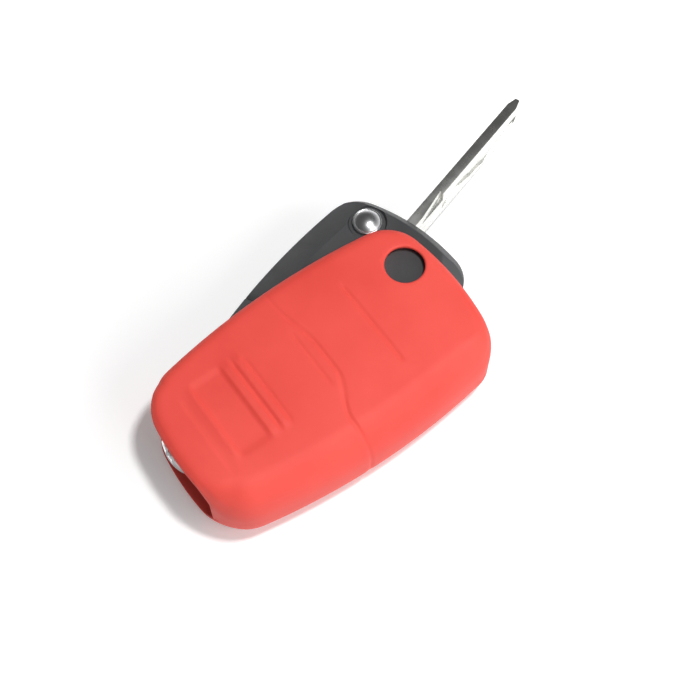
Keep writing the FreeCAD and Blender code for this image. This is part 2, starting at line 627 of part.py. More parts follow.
def make_board_chips():
    """Flat packages on both sides of the switches, and the indicator lamp under its lens."""
    aside = SWITCH_W / 2 + PACKAGE_GAP + PACKAGE_W / 2
    places = [(ROOM_X + aside, KEYPAD_YS[2], PACKAGE_W, PACKAGE_L, PACKAGE_T),
              (ROOM_X - aside, KEYPAD_YS[0], PACKAGE_W, PACKAGE_W, PACKAGE_T),
              (ROOM_X - aside, KEYPAD_YS[1], PACKAGE_W, PACKAGE_L, PACKAGE_T),
              (LENS_X, LENS_Y, LAMP_W, LAMP_W, LAMP_T)]
    chips = []
    for x, y, width, length, height in places:
        chips.append(box(x - width / 2, x + width / 2, y - length / 2, y + length / 2,
                         BOARD_TOP_Z, BOARD_TOP_Z + height))
    return Part.makeCompound(chips)


def make_cell():
    return drum(ROOM_X, ROOM_Y, CELL_R, CELL_Z, CELL_Z + CELL_T)


def make_contacts():
    """A spring leaf on top of the cell and a side clip on its rim, both reaching up to the board."""
    leaf_z = CELL_Z + CELL_T
    half = CONTACT_W / 2
    leaf = box(ROOM_X - half, ROOM_X + half, ROOM_Y - half, ROOM_Y + half, leaf_z, leaf_z + CONTACT_T)
    leg = box(ROOM_X - CONTACT_T / 2, ROOM_X + CONTACT_T / 2, ROOM_Y - half, ROOM_Y + half,
              leaf_z + CONTACT_T, BOARD_Z)
    rim_x = ROOM_X + CELL_R
    clip = box(rim_x, rim_x + CONTACT_T, ROOM_Y - half, ROOM_Y + half, ROOM_FLOOR_Z, BOARD_Z)
    return Part.makeCompound([leaf.fuse(leg), clip])


def make_keypad_button(y):
    """A cap in its window, a lip that stops it under the roof and a stem over its switch."""
    lip_foot_z = LIP_TOP_Z - KEYPAD_LIP_T
    cap = keypad_slab(y, 0, LIP_TOP_Z, KEY_T)
    lip = keypad_slab(y, KEYPAD_LIP, lip_foot_z, LIP_TOP_Z)
    stem = upright_bar(ROOM_X, y, STEM_W, STEM_FOOT_Z, lip_foot_z)
    return cap.fuse(lip).fuse(stem).removeSplitter()


def make_lens():
    rod = drum(LENS_X, LENS_Y, LENS_R, ROOM_CEILING_Z, KEY_T)
    flange = upright_bar(LENS_X, LENS_Y, LENS_FLANGE_W, ROOM_CEILING_Z - LENS_FLANGE_T, ROOM_CEILING_Z)
    return rod.fuse(flange).removeSplitter()


# Small pieces of the head module
def make_transponder():
    """A glass capsule that lies on the floor of the head's room."""
    x = (HEAD_ROOM_LEFT_X + HEAD_ROOM_RIGHT_X) / 2
    y = (HEAD_ROOM_TAIL_Y + HEAD_ROOM_HEAD_Y - CAPSULE_L) / 2
    return Part.makeCylinder(CAPSULE_R, CAPSULE_L, Vec(x, y, HEAD_ROOM_Z + CAPSULE_R), Vec(0, 1, 0))


def make_screw():
    """A cross-slotted screw whose head sits in its sink."""
    shaft = drum(SCREW_X, SCREW_Y, SCREW_R, SCREW_SINK_T, SCREW_TOP_Z)
    head_foot_z = SCREW_SINK_T - SCREW_HEAD_T
    head = drum(SCREW_X, SCREW_Y, SCREW_HEAD_R, head_foot_z, SCREW_SINK_T)
    slot = box(SCREW_X - SCREW_R, SCREW_X + SCREW_R, SCREW_Y - SCREW_R / 4, SCREW_Y + SCREW_R / 4,
               head_foot_z, head_foot_z + SCREW_HEAD_T / 2)
    cross = slot.copy()
    cross.rotate(Vec(SCREW_X, SCREW_Y, 0), UP, 90)
    return shaft.fuse(head).cut(slot).cut(cross)


key_body = key_block().cut(blade_way())
head_front, head_rear = make_head_shells(key_body)
remote_front, remote_rear = make_remote_shells(key_body)

save("silicone_cover", make_cover())
key_pieces = {
    "head_front_shell": head_front,
    "head_rear_shell": head_rear,
    "remote_front_shell": remote_front,
    "remote_rear_cover": remote_rear,
    "keyring_bracket": make_bracket(),
    "pivot_pin": drum(PIVOT_X, PIVOT_Y, PIN_R, PIN_FOOT_Z, PIN_TOP_Z),
    "flip_spring": make_spring(),
    "transponder_chip": make_transponder(),
    "case_screw": make_screw(),
    "circuit_board": make_board(),
    "board_chips": make_board_chips(),
    "tact_switches": make_switches(),
    "coin_cell": make_cell(),
    "battery_contacts": make_contacts(),
    "indicator_lens": make_lens(),
    "key_blade": make_blade(),
    "blade_hub": make_hub(),
    "blade_roll_pin": roll_pin(),
    "release_button": make_release_button(),
}
for button_name, button_y in zip(("unlock_button", "lock_button", "boot_button"), KEYPAD_YS):
    key_pieces[button_name] = make_keypad_button(button_y)
for piece_name, piece in key_pieces.items():
    save(piece_name, set_down(piece))
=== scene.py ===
import json
import math
from typing import NamedTuple

import bmesh
import bpy
import numpy as np
from mathutils import Matrix, Vector


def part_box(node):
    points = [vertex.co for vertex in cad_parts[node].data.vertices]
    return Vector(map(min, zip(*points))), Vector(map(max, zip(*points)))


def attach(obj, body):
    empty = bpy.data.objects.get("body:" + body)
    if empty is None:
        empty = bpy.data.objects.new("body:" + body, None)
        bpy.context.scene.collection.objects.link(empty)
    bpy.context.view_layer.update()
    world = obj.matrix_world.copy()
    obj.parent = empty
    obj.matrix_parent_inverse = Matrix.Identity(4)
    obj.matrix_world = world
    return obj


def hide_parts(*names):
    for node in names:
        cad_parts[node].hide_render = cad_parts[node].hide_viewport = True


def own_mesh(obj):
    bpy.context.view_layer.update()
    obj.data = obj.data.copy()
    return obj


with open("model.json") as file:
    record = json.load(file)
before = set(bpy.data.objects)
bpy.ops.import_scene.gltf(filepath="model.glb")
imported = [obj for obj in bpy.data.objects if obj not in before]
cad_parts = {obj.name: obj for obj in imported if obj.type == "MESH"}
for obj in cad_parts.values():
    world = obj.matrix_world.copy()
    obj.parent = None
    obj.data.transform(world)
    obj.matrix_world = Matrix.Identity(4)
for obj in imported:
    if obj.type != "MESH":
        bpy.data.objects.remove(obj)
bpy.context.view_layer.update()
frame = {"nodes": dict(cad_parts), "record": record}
MM = 0.001

# Cover sizes in millimetres, the same as the solid's
COVER_W = 42.2
COVER_L = 71.4
COVER_H = 20.24
CEILING_Z = 18.34
FLOOR_Z = 1.6
WALL = 1.8
SIDE_BOW_R = 160.0
END_BOW_R = 64.0
WIDEST_Y = 5.0
HEAD_LEFT_R = 9.2
HEAD_RIGHT_R = 7.2
TAIL_LEFT_R = 11.0
TAIL_RIGHT_R = 10.0
SIDE_MOUTH_Y = -25.3
HEAD_MOUTH_X = 9.0
RING_MOUTH_X = (-13.5, 9.5)
HOLE_XY = np.array([-8.3, 28.45])
HOLE_R = 4.4

# Soft skin of the cover in millimetres: a rounded edge's pair is its width and its height
BAND = 1.0
FRONT_SINK = 0.1
FRONT_Z = COVER_H - FRONT_SINK
CROWN = 0.9
CROWN_HALF = (21.0, 36.0)
SHOULDER_WALL = (7.4, 9.0)
SHOULDER_LIP = (3.2, 1.55)
BACK_WALL = (5.5, 9.0)
BACK_LIP = (2.6, 1.24)
WALL_FEET = (10.7, 9.4)
SOFT_ONSET = 2.5
WALL_SWELL = 0.05
SWELL_FOOT_Z = 3.0
SWELL_H = 13.0
INNER_FRONT = (3.2, 4.4)
INNER_BACK = (2.8, 3.6)
CEILING_IN = 5.6
FLOOR_IN = 5.2
LIP_IN = 2.6

# Lips and rounded wall ends at the mouths: a fade is where it begins and ends, as a distance past the mouth
LIP_R = 0.36
LIP_FADE = (1.5, 14.0)
RING_LIP_FADE = (-4.0, 5.0)
CURL_FADE = (0.3, 1.8)
OUTER_END_R = 0.5
INNER_END_R = 0.4
MOUTH_END_STEPS = (0.0, 0.18, 0.42)

# Release hole: a thin rim, then relief rows of (out past the hole's radius, down from the rim's top)
HOLE_RIM_R = 0.5
HOLE_RELIEF = 0.6
RELIEF_ROWS = ((0.0, 0.62), (0.03, 0.7), (0.15, 0.75), (HOLE_RELIEF - 0.06, 0.8), (HOLE_RELIEF, 0.9))
RELIEF_FEET = (0.1, 0.0)
RIM_APPROACH = (0.35, 0.7)
HOLE_BLOCK_X = (-5.3, 6.1)
HOLE_BLOCK_Y = (-5.3, 5.15)
HOLE_NEAR = (6.5, 12.0)
HOLE_CEILING_IN = 1.15
HOLE_WALL_IN = 0.75

# Seam: it arches over the front and runs down the closed side as a groove
SEAM_TOP_Y = 2.1
SEAM_FALL = (1.9, 4.0)
SEAM_LEFT_X = (-16.0, -4.0)
SEAM_RIGHT_X = (3.0, 14.0)
SEAM_DEPTH = 0.25
SEAM_HALF = 0.5
SEAM_FAINT = 0.4
SEAM_FAINT_X = (-15.0, -11.0)
SEAM_SIDE_YS = (-1.9, 0.8)
GROOVE_X = (8.0, 12.0)
GROOVE_TURN_Z = 11.0
GROOVE_TURN_H = 9.0
GROOVE_FOOT_Z = (0.6, 2.4)

# Sunk pad, raised bars and lines across the front
PAD_X = (-11.5, 7.0)
PAD_Y = (-24.4, -17.4)
PAD_DEPTH = 0.3
PAD_FLANK = 1.2
PAD_END = 1.8
BARS_Y = ((-17.0, -15.1), (-14.1, -12.5))
BAR_RISE = 0.21
BAR_FLANK = 0.9
BAR_EDGE_YS = (-15.6, -14.2, -12.2)
CHORD_Y = -0.7
PANEL_Y = 14.5
RIM_Y = -25.3
FOOT_LINE_Y = -27.5
GROOVES_Y = (-14.6, -11.9)


class CrossLine(NamedTuple):
    """A line moulded across the front: y, height, half width, the x of both ends and their fade."""
    y: float
    rise: float
    half: float
    ends: tuple
    fade: float


CROSS_LINES = (
    CrossLine(y=CHORD_Y, rise=-0.15, half=0.45, ends=(-9.3, 5.2), fade=2.0),
    CrossLine(y=PANEL_Y, rise=-0.24, half=0.5, ends=(-12.0, 9.4), fade=2.0),
    CrossLine(y=RIM_Y, rise=0.16, half=0.6, ends=(-11.0, 6.5), fade=2.4),
    CrossLine(y=FOOT_LINE_Y, rise=-0.16, half=0.6, ends=(-10.0, 9.0), fade=2.4),
    *(CrossLine(y=y, rise=-0.16, half=0.48, ends=(-10.6, 6.8), fade=1.8) for y in GROOVES_Y))

# Spacing of the skin's rows and columns: finer near the details and at the mouths' ends
FEATURE_YS = (SEAM_SIDE_YS[0], CHORD_Y, SEAM_SIDE_YS[1], SEAM_TOP_Y, PANEL_Y, *PAD_Y, *BAR_EDGE_YS,
              FOOT_LINE_Y)
SIDE_SPACING = (0.7, 0.26, 1.0)
END_SPACING = (0.021, 0.012, 0.02)
EVEN_Y = (-28.0, 20.0)
TAIL_BOW_FADE = 9.0
HEAD_BOW_FADE = 16.0
ANGLE_SAMPLES = 8001
LEVEL_SAMPLES = 6001
NEAREST_BATCH = 2000
SHOULDER_STEPS = 12
LIP_STEPS = 4
WALL_STEPS = 14
BACK_STEPS = 8
INNER_STEPS = 4
RIM_STEPS = 6
FRONT_LIP_ROW = SHOULDER_STEPS - 1 + LIP_STEPS
BACK_LIP_ROW = FRONT_LIP_ROW + WALL_STEPS
CEILING_ROW = 1
FLOOR_ROW = CEILING_ROW + WALL_STEPS
TINY = 1e-6

# Release button and flip spring in millimetres
DOME_R = 3.2
DOME_RISE = 1.3
DOME_STEPS = 18
RING_IN_R = 2.86
RING_OUT = 0.02
RING_SINK = 0.12
RING_RISE = 0.13
RING_STEPS = 9
FLANGE_R = 4.0
FLANGE_ROOF = 2.35
FLANGE_T = 1.0
SHANK_R = 2.2
BUTTON_SIDES = 72
SPRING_R = 3.0
SPRING_TURNS = 4
SPRING_STEPS = 40
WIRE_HALF = (0.4, 0.35)
WIRE_SIDES = 12

# Rounded edges of the key's nodes: body, material slot and the rounding's width in millimetres
SOFT_EDGES = {
    "head_front_shell": ("key_body", "key_plastic", 0.25),
    "head_rear_shell": ("key_body", "key_plastic", 0.25),
    "remote_front_shell": ("key_body", "key_plastic", 0.25),
    "remote_rear_cover": ("key_body", "key_plastic", 0.1),
    "keyring_bracket": ("key_body", "chrome", 0.2),
    "key_blade": ("blade", "blade_steel", 0.08)}
BUTTON_CLEAR = 5.2
ROUNDED_BEND = math.radians(45.0)
CREASE_BEND = math.radians(16.0)
FLAT_BEND = math.radians(0.5)
MERGE_M = 2e-6
EDGE_SEGMENTS = 3

# Finishes
KEY_SWING = math.radians(16.2)
NOISE_SPAN = (0.3, 0.7)
WEAR_SCALE = 260.0
TINT_DRIFT = 1.06
CLEAR_ROUGH_DRIFT = 0.05

# Floor, light and camera, in metres
VIEW_AZ = math.radians(53.83)
VIEW_EL = math.radians(65.82)
VIEW_DIST = 0.320
VIEW_TARGET = Vector((-0.00632, 0.01245, 0.0))
NEAR_CLIP = 0.01
SENSOR_MM = 36.0
FOCAL_PX = 1426.1
FRAME_PX = 700
FLOOR_HALF = 2.0
FLOOR_Z_M = -0.0001
FLOOR_TONE = 0.95
FLOOR_LIFT = (0.155, 0.85)
LIFT_REACH = (0.044, 0.12)
AMBIENT = 0.22
OVERHEAD = 0.08
DOME_REACH = 0.62
LIGHT_LEAN = (0.42, 0.10, 0.0)


def mix(a, b, weight):
    """The value at a share of the way from a to b."""
    return a + (b - a) * weight


def ease(low, high, value):
    """A smooth step: 0 up to low, 1 from high, and a cubic between them."""
    t = np.clip((value - low) / (high - low), 0.0, 1.0)
    return t * t * (3.0 - 2.0 * t)


def window(value, low, high, soft):
    """1 between low and high, 0 outside, with both flanks eased over soft."""
    half = soft / 2
    return ease(low - half, low + half, value) * (1.0 - ease(high - half, high + half, value))


def bell(offset, half):
    """1 on a line, and exp(-(offset / half) squared) beside it."""
    return np.exp(-((offset / half) ** 2))


# Outline of the cover
def corner_centre(side_c, side_r, end_c, end_r, r):
    """The centre of a corner arc of radius r that runs smoothly into a side arc and an end arc."""
    ra, rb = side_r - r, end_r - r
    gap = end_c - side_c
    dist = np.linalg.norm(gap)
    along = (ra * ra - rb * rb + dist * dist) / (2 * dist)
    out = math.sqrt(ra * ra - along * along)
    ahead = gap / dist
    foot = side_c + ahead * along
    across = np.array([-ahead[1], ahead[0]]) * out
    return max((foot + across, foot - across), key=lambda c: c[0])


def cover_arcs():
    """The outline as eight tangent arcs: the angle of each one's first normal, its centre and its radius."""
    side_c = np.array([COVER_W / 2 - SIDE_BOW_R, WIDEST_Y])
    head_c = np.array([0.0, COVER_L / 2 - END_BOW_R])
    over, across = np.array([1.0, -1.0]), np.array([-1.0, 1.0])

    def corner(r, tail, left):
        centre = corner_centre(side_c * over if tail else side_c, SIDE_BOW_R, head_c, END_BOW_R, r)
        return centre * (over if tail else 1.0) * (across if left else 1.0)

    places = [(corner(TAIL_RIGHT_R, True, False), TAIL_RIGHT_R), (side_c, SIDE_BOW_R),
              (corner(HEAD_RIGHT_R, False, False), HEAD_RIGHT_R), (head_c, END_BOW_R),
              (corner(HEAD_LEFT_R, False, True), HEAD_LEFT_R), (side_c * across, SIDE_BOW_R),
              (corner(TAIL_LEFT_R, True, True), TAIL_LEFT_R), (-head_c, END_BOW_R)]
    starts = []
    for before, after in zip([places[-1]] + places[:-1], places):
        joint = (after[0] - before[0]) * np.sign(before[1] - after[1])
        starts.append(math.atan2(joint[1], joint[0]))
    starts = np.unwrap(np.array(starts))
    return starts, np.array([c for c, r in places]), np.array([r for c, r in places])


ARC_STARTS, ARC_CENTRES, ARC_RADII = cover_arcs()


def outline(phi, inset):
    """The point whose normal has the angle phi, moved in by inset: centre + (radius - inset) * normal."""
    turned = ARC_STARTS[0] + np.mod(phi - ARC_STARTS[0], 2 * math.pi)
    arc = np.searchsorted(ARC_STARTS, turned, side="right") - 1
    normal = np.stack([np.cos(phi), np.sin(phi)], axis=-1)
    return ARC_CENTRES[arc] + (ARC_RADII[arc] - inset)[..., None] * normal


def graded(low, high, spots, spacing):
    """Levels from low to high whose spacing falls from coarse to fine within reach of each spot."""
    coarse, fine, reach = spacing
    line = np.linspace(low, high, LEVEL_SAMPLES)
    near = sum(np.exp(-(((line - spot) / reach) ** 4)) for spot in spots)
    density = 1.0 / coarse + np.minimum(near, 1.0) / fine
    total = np.concatenate([[0.0], np.cumsum((density[1:] + density[:-1]) / 2 * np.diff(line))])
    count = int(round(total[-1]))
    return np.interp(np.linspace(0.0, total[-1], count + 1), total, line)


def snap(levels, targets):
    """Moves the nearest level on to each target, and sorts the levels."""
    for target in targets:
        levels[np.abs(levels - target).argmin()] = target
    return np.sort(levels)


# Columns of the cover's skin: each is an angle of the outline's normal
CORNERS = [(ARC_STARTS[k] + ARC_STARTS[k + 1]) / 2 for k in (0, 2, 4, 6)]
RIGHT_PHI = np.linspace(CORNERS[0], CORNERS[1], ANGLE_SAMPLES)
HEAD_PHI = np.linspace(CORNERS[1], CORNERS[2], ANGLE_SAMPLES)
LEFT_PHI = np.linspace(CORNERS[3], CORNERS[2], ANGLE_SAMPLES)
TAIL_PHI = np.linspace(CORNERS[3], CORNERS[0] + 2 * math.pi, ANGLE_SAMPLES)
BAND_RIGHT = outline(RIGHT_PHI, BAND)
BAND_LEFT = outline(LEFT_PHI, BAND)


def side_level(y):
    """The y on the band of the left place whose mid-wall point has the y given."""
    phi = np.interp(y, outline(LEFT_PHI, WALL / 2)[:, 1], LEFT_PHI)
    return outline(np.array([phi]), BAND)[0, 1]


def end_share(x, table):
    """The share along an end, from its left, of the place whose mid-wall point has the x given."""
    xs = outline(table, WALL / 2)[:, 0]
    order = np.argsort(xs)
    phi = np.interp(x, xs[order], table[order])
    band = outline(table, BAND)[:, 0]
    return (outline(np.array([phi]), BAND)[0, 0] - band.min()) / (band.max() - band.min())


def side_rows():
    """The levels of the rows up the left side, with one at each step of the side mouth's end."""
    stops = [side_level(SIDE_MOUTH_Y - step) for step in MOUTH_END_STEPS]
    return snap(graded(BAND_LEFT[0, 1], BAND_LEFT[-1, 1], FEATURE_YS, SIDE_SPACING), stops)


def end_columns():
    """The shares of the columns along the ends, with one at each step of the head and ring mouths' ends."""
    stops = [end_share(HEAD_MOUTH_X + step, HEAD_PHI) for step in MOUTH_END_STEPS]
    stops += [end_share(RING_MOUTH_X[0] - step, TAIL_PHI) for step in MOUTH_END_STEPS]
    stops += [end_share(RING_MOUTH_X[1] + step, TAIL_PHI) for step in MOUTH_END_STEPS]
    return snap(graded(0.0, 1.0, stops, END_SPACING), stops)


SIDE_LEVELS = side_rows()
END_SHARES = end_columns()
ROWS = len(SIDE_LEVELS) - 1
COLS = len(END_SHARES) - 1


def loop_angles():
    """Angles round the outline: up the right side, over the head, down the left side, along the tail."""
    tail_y, head_y = SIDE_LEVELS[0], SIDE_LEVELS[-1]
    low, high = EVEN_Y
    to_head = mix(high, BAND_RIGHT[-1, 1], (SIDE_LEVELS - high) / (head_y - high))
    to_tail = mix(low, BAND_RIGHT[0, 1], (low - SIDE_LEVELS) / (low - tail_y))
    levels = np.where(SIDE_LEVELS > high, to_head, SIDE_LEVELS)
    levels = np.where(levels < low, to_tail, levels)
    right = np.interp(levels, BAND_RIGHT[:, 1], RIGHT_PHI)
    left = np.interp(SIDE_LEVELS, BAND_LEFT[:, 1], LEFT_PHI)

    def along(table):
        xs = outline(table, BAND)[:, 0]
        order = np.argsort(xs)
        return np.interp(mix(xs.min(), xs.max(), END_SHARES), xs[order], table[order])

    head = along(HEAD_PHI)[::-1]
    tail = along(TAIL_PHI)
    return np.concatenate([right[:-1], head[:-1], left[::-1][:-1], tail[:-1]])


PHI = loop_angles()
NORMALS = np.stack([np.cos(PHI), np.sin(PHI)], axis=-1)
EDGE = outline(PHI, 0.0)
MID_WALL = outline(PHI, WALL / 2)


def mouth_columns():
    """Which columns lie in a mouth, ends included, how far each is from a mouth, and its share of lip.

    A lip fades slowly past a mouth's end, but early at the ring mouth's right end, over a round corner.
    """
    x, y = MID_WALL[:, 0], MID_WALL[:, 1]
    column = np.arange(len(PHI))
    on_head = (column >= ROWS) & (column <= ROWS + COLS)
    on_left = (column >= ROWS + COLS) & (column <= 2 * ROWS + COLS)
    on_tail = column >= 2 * ROWS + COLS
    main = (on_head & (x <= HEAD_MOUTH_X + TINY)) | (on_left & (y >= SIDE_MOUTH_Y - TINY))
    ring = on_tail & (x >= RING_MOUTH_X[0] - TINY) & (x <= RING_MOUTH_X[1] + TINY)
    steps = np.linalg.norm(np.roll(MID_WALL, -1, axis=0) - MID_WALL, axis=1)
    along = np.concatenate([[0.0], np.cumsum(steps)[:-1]])
    total = steps.sum()

    def distance(inside):
        gap = np.abs(along[:, None] - along[inside][None, :])
        return np.minimum(gap, total - gap).min(axis=1)

    def wrapped(gap):
        return np.mod(gap + total / 2, total) - total / 2

    right_end = wrapped(along - along[ring].max())
    left_end = wrapped(along[ring].min() - along)
    ring_lip = np.minimum(1.0 - ease(*RING_LIP_FADE, right_end), 1.0 - ease(*LIP_FADE, left_end))
    lip = np.maximum(ring_lip, 1.0 - ease(*LIP_FADE, distance(main)))
    return main | ring, distance(main | ring), lip


IN_MOUTH, WALL_DIST, LIP = mouth_columns()
CURL = 1.0 - ease(*CURL_FADE, WALL_DIST)


# Height of the cover's front and back
def fall(share):
    """How far a rounded edge has fallen at a share of its width: an ellipse that sets in softly."""
    return 1.0 - np.sqrt(np.maximum(1.0 - share ** SOFT_ONSET, 0.0))


def seam_line(x):
    """Where the seam runs over the front: highest left of the middle, and lower toward both sides."""
    return SEAM_TOP_Y - SEAM_FALL[0] * (1.0 - ease(*SEAM_LEFT_X, x)) - SEAM_FALL[1] * ease(*SEAM_RIGHT_X, x)


def emboss(x, y):
    """Height of the moulded details: a bowed seam, a sunk pad, two raised bars and plain lines."""
    across = window(x, *PAD_X, PAD_END)
    seam = -SEAM_DEPTH * bell(y - seam_line(x), SEAM_HALF) * mix(SEAM_FAINT, 1.0, ease(*SEAM_FAINT_X, x))
    pad = -PAD_DEPTH * window(y, *PAD_Y, PAD_FLANK) * across
    bars = BAR_RISE * sum(window(y, *bar, BAR_FLANK) for bar in BARS_Y) * across
    lines = sum(line.rise * bell(y - line.y, line.half) * window(x, *line.ends, line.fade)
                for line in CROSS_LINES)
    return seam + pad + bars + lines


def nearest_edge(xy):
    """Distance to the outline and the lip weight there, for points inside it."""
    dist = np.empty(len(xy))
    lip = np.empty(len(xy))
    for start in range(0, len(xy), NEAREST_BATCH):
        part = slice(start, start + NEAREST_BATCH)
        gap = ((xy[part, None, :] - EDGE[None, :, :]) * NORMALS[None, :, :]).sum(axis=2)
        near = gap.argmax(axis=1)
        dist[part] = -gap.max(axis=1)
        lip[part] = LIP[near]
    return dist, lip


def shoulder_drop(xy, wall_form, lip_form):
    """How far the skin has fallen near the outline, from the wall's edge to the mouths' lips."""
    dist, lip = nearest_edge(xy)
    width, height = (mix(wall_form[k], lip_form[k], lip) for k in (0, 1))
    return height * fall(np.clip((width - dist) / width, 0.0, 1.0))


def crown(x, y):
    """The front's slight swell: a parabola across times one along, each 0 at its half length."""
    half_x, half_y = CROWN_HALF
    return CROWN * np.clip(1.0 - (x / half_x) ** 2, 0, 1) * np.clip(1.0 - (y / half_y) ** 2, 0, 1)


def front_height(xy):
    """Height of the front skin: the crowned face with its details, less the fall of the rounded shoulder."""
    x, y = xy[:, 0], xy[:, 1]
    return FRONT_Z + crown(x, y) + emboss(x, y) - shoulder_drop(xy, SHOULDER_WALL, SHOULDER_LIP)


def back_height(xy):
    """Height of the back skin: flat, and lifted at its rounded edge."""
    return shoulder_drop(xy, BACK_WALL, BACK_LIP)


# Profiles carried round the outline
def profile_rows(wall, lip):
    """Insets and heights of every column's rows, mixed from the standing wall's form and the lips'."""
    weight = LIP[:, None]
    return [mix(wall[None, :, k], lip[None, :, k], weight) for k in (0, 1)]


def quarter(form, steps):
    """Angles down an elliptical shoulder, from the band's place on it to its foot."""
    first = math.asin(1.0 - BAND / form[0])
    return np.linspace(first, math.pi / 2, steps)


def outer_forms():
    """The outer profile as (inset, height) rows, once for the standing wall and once for the mouths' lips."""
    q = np.linspace(0.0, math.pi / 2, LIP_STEPS + 1)[1:]
    rise = np.linspace(0.0, 1.0, WALL_STEPS + 1)[1:]

    def column(front, back, front_foot, back_foot):
        t = quarter(front, SHOULDER_STEPS)
        t_back = quarter(back, BACK_STEPS)[::-1]
        top = np.stack([front[0] * (1 - np.sin(t)), FRONT_Z - front[1] * fall(np.sin(t))], axis=1)
        low = np.stack([back[0] * (1 - np.sin(t_back)), back[1] * fall(np.sin(t_back))], axis=1)
        upright = np.concatenate([mix(top[-1, 1], front_foot, np.sin(q)), mix(front_foot, back_foot, rise),
                                  mix(low[0, 1], back_foot, np.cos(q))])
        wall = np.stack([np.zeros(len(upright)), upright], axis=1)
        return np.concatenate([top, wall, low[1:]])

    standing = column(SHOULDER_WALL, BACK_WALL, *WALL_FEET)
    lips = column(SHOULDER_LIP, BACK_LIP, CEILING_Z, FLOOR_Z)
    return standing, lips


def lip_curl(rows):
    """How far each outer row turns in under a lip, as a share of the lip's radius."""
    q = np.linspace(0.0, math.pi / 2, LIP_STEPS + 1)[1:]
    curl = np.zeros(rows)
    curl[SHOULDER_STEPS:FRONT_LIP_ROW + 1] = 1 - np.cos(q)
    curl[BACK_LIP_ROW] = 1.0
    curl[BACK_LIP_ROW + 1:BACK_LIP_ROW + 1 + LIP_STEPS] = 1 - np.sin(q)
    return curl


def inner_forms():
    """The inner profile: the ceiling's edge, the wall with its rounded corners, and the floor's edge."""
    q = np.linspace(0.0, math.pi / 2, INNER_STEPS)
    (front_a, front_b), (back_a, back_b) = INNER_FRONT, INNER_BACK
    wall_z = np.linspace(CEILING_Z - front_b, FLOOR_Z + back_b, WALL_STEPS + 1 - 2 * (len(q) - 1))
    top = np.stack([WALL + front_a * (1 - np.sin(q)), CEILING_Z - front_b * (1 - np.cos(q))], axis=1)
    middle = np.stack([np.full(len(wall_z), WALL), wall_z], axis=1)
    up = q[::-1]
    low = np.stack([WALL + back_a * (1 - np.sin(up)), FLOOR_Z + back_b * (1 - np.cos(up))], axis=1)
    standing = np.concatenate([[[CEILING_IN, CEILING_Z]], top, middle[1:-1], low, [[FLOOR_IN, FLOOR_Z]]])
    lip_z = np.linspace(CEILING_Z, FLOOR_Z, WALL_STEPS + 1)
    lips = np.concatenate([[[LIP_IN, CEILING_Z]], np.stack([np.full(WALL_STEPS + 1, WALL), lip_z], axis=1),
                           [[LIP_IN, FLOOR_Z]]])
    return standing, lips


def skin_points(inset, height):
    """Profile rows carried round the outline: its point less inset times its normal, at the height."""
    xy = EDGE[:, None, :] - inset[..., None] * NORMALS[:, None, :]
    return np.concatenate([xy, height[..., None]], axis=2)


def end_rounding(radius, rows, first_row, last_row):
    """How far the wall's rows between two rows draw back at a mouth's end: a quarter circle."""
    t = np.clip((radius - WALL_DIST) / radius, 0, 1)
    row = np.arange(rows)
    on_wall = (row > first_row) & (row < last_row)
    return (radius * (1 - np.sqrt(1 - t * t)))[:, None] * on_wall[None, :]


def outer_skin():
    """The outer rows, with the wall's soft swell, its rounded ends at the mouths and the seam's groove."""
    inset, height = profile_rows(*outer_forms())
    rows = inset.shape[1]
    swell = WALL_SWELL * np.sin(np.clip((height - SWELL_FOOT_Z) / SWELL_H, 0, 1) * math.pi)
    inset = inset - swell * (1 - LIP[:, None]) + LIP_R * CURL[:, None] * lip_curl(rows)[None, :]
    inset = inset + end_rounding(OUTER_END_R, rows, FRONT_LIP_ROW, BACK_LIP_ROW)
    points = skin_points(inset, height)
    x, y, z = (points[..., k].copy() for k in (0, 1, 2))
    groove = SEAM_DEPTH * bell(y - seam_line(x), SEAM_HALF) * ease(*GROOVE_X, x) * ease(*GROOVE_FOOT_Z, z)
    groove = groove * (NORMALS[:, 0] > 0)[:, None]
    flat = np.clip((z - GROOVE_TURN_Z) / GROOVE_TURN_H, 0, 1)
    points[..., :2] -= (groove * (1 - flat))[..., None] * NORMALS[:, None, :]
    points[..., 2] -= groove * flat
    points[:, 0, 2] = front_height(points[:, 0, :2])
    points[:, -1, 2] = back_height(points[:, -1, :2])
    return points


def inner_skin():
    """The inner rows. Round the release hole the ceiling's edge runs close to the lip."""
    inset, height = profile_rows(*inner_forms())
    by_hole = 1.0 - ease(*HOLE_NEAR, np.linalg.norm(EDGE - HOLE_XY, axis=1))
    inset[:, 0] = mix(inset[:, 0], HOLE_CEILING_IN, by_hole)
    inset[:, CEILING_ROW] = mix(inset[:, CEILING_ROW], HOLE_WALL_IN, by_hole)
    inset = inset - end_rounding(INNER_END_R, inset.shape[1], CEILING_ROW, FLOOR_ROW)
    return skin_points(inset, height)


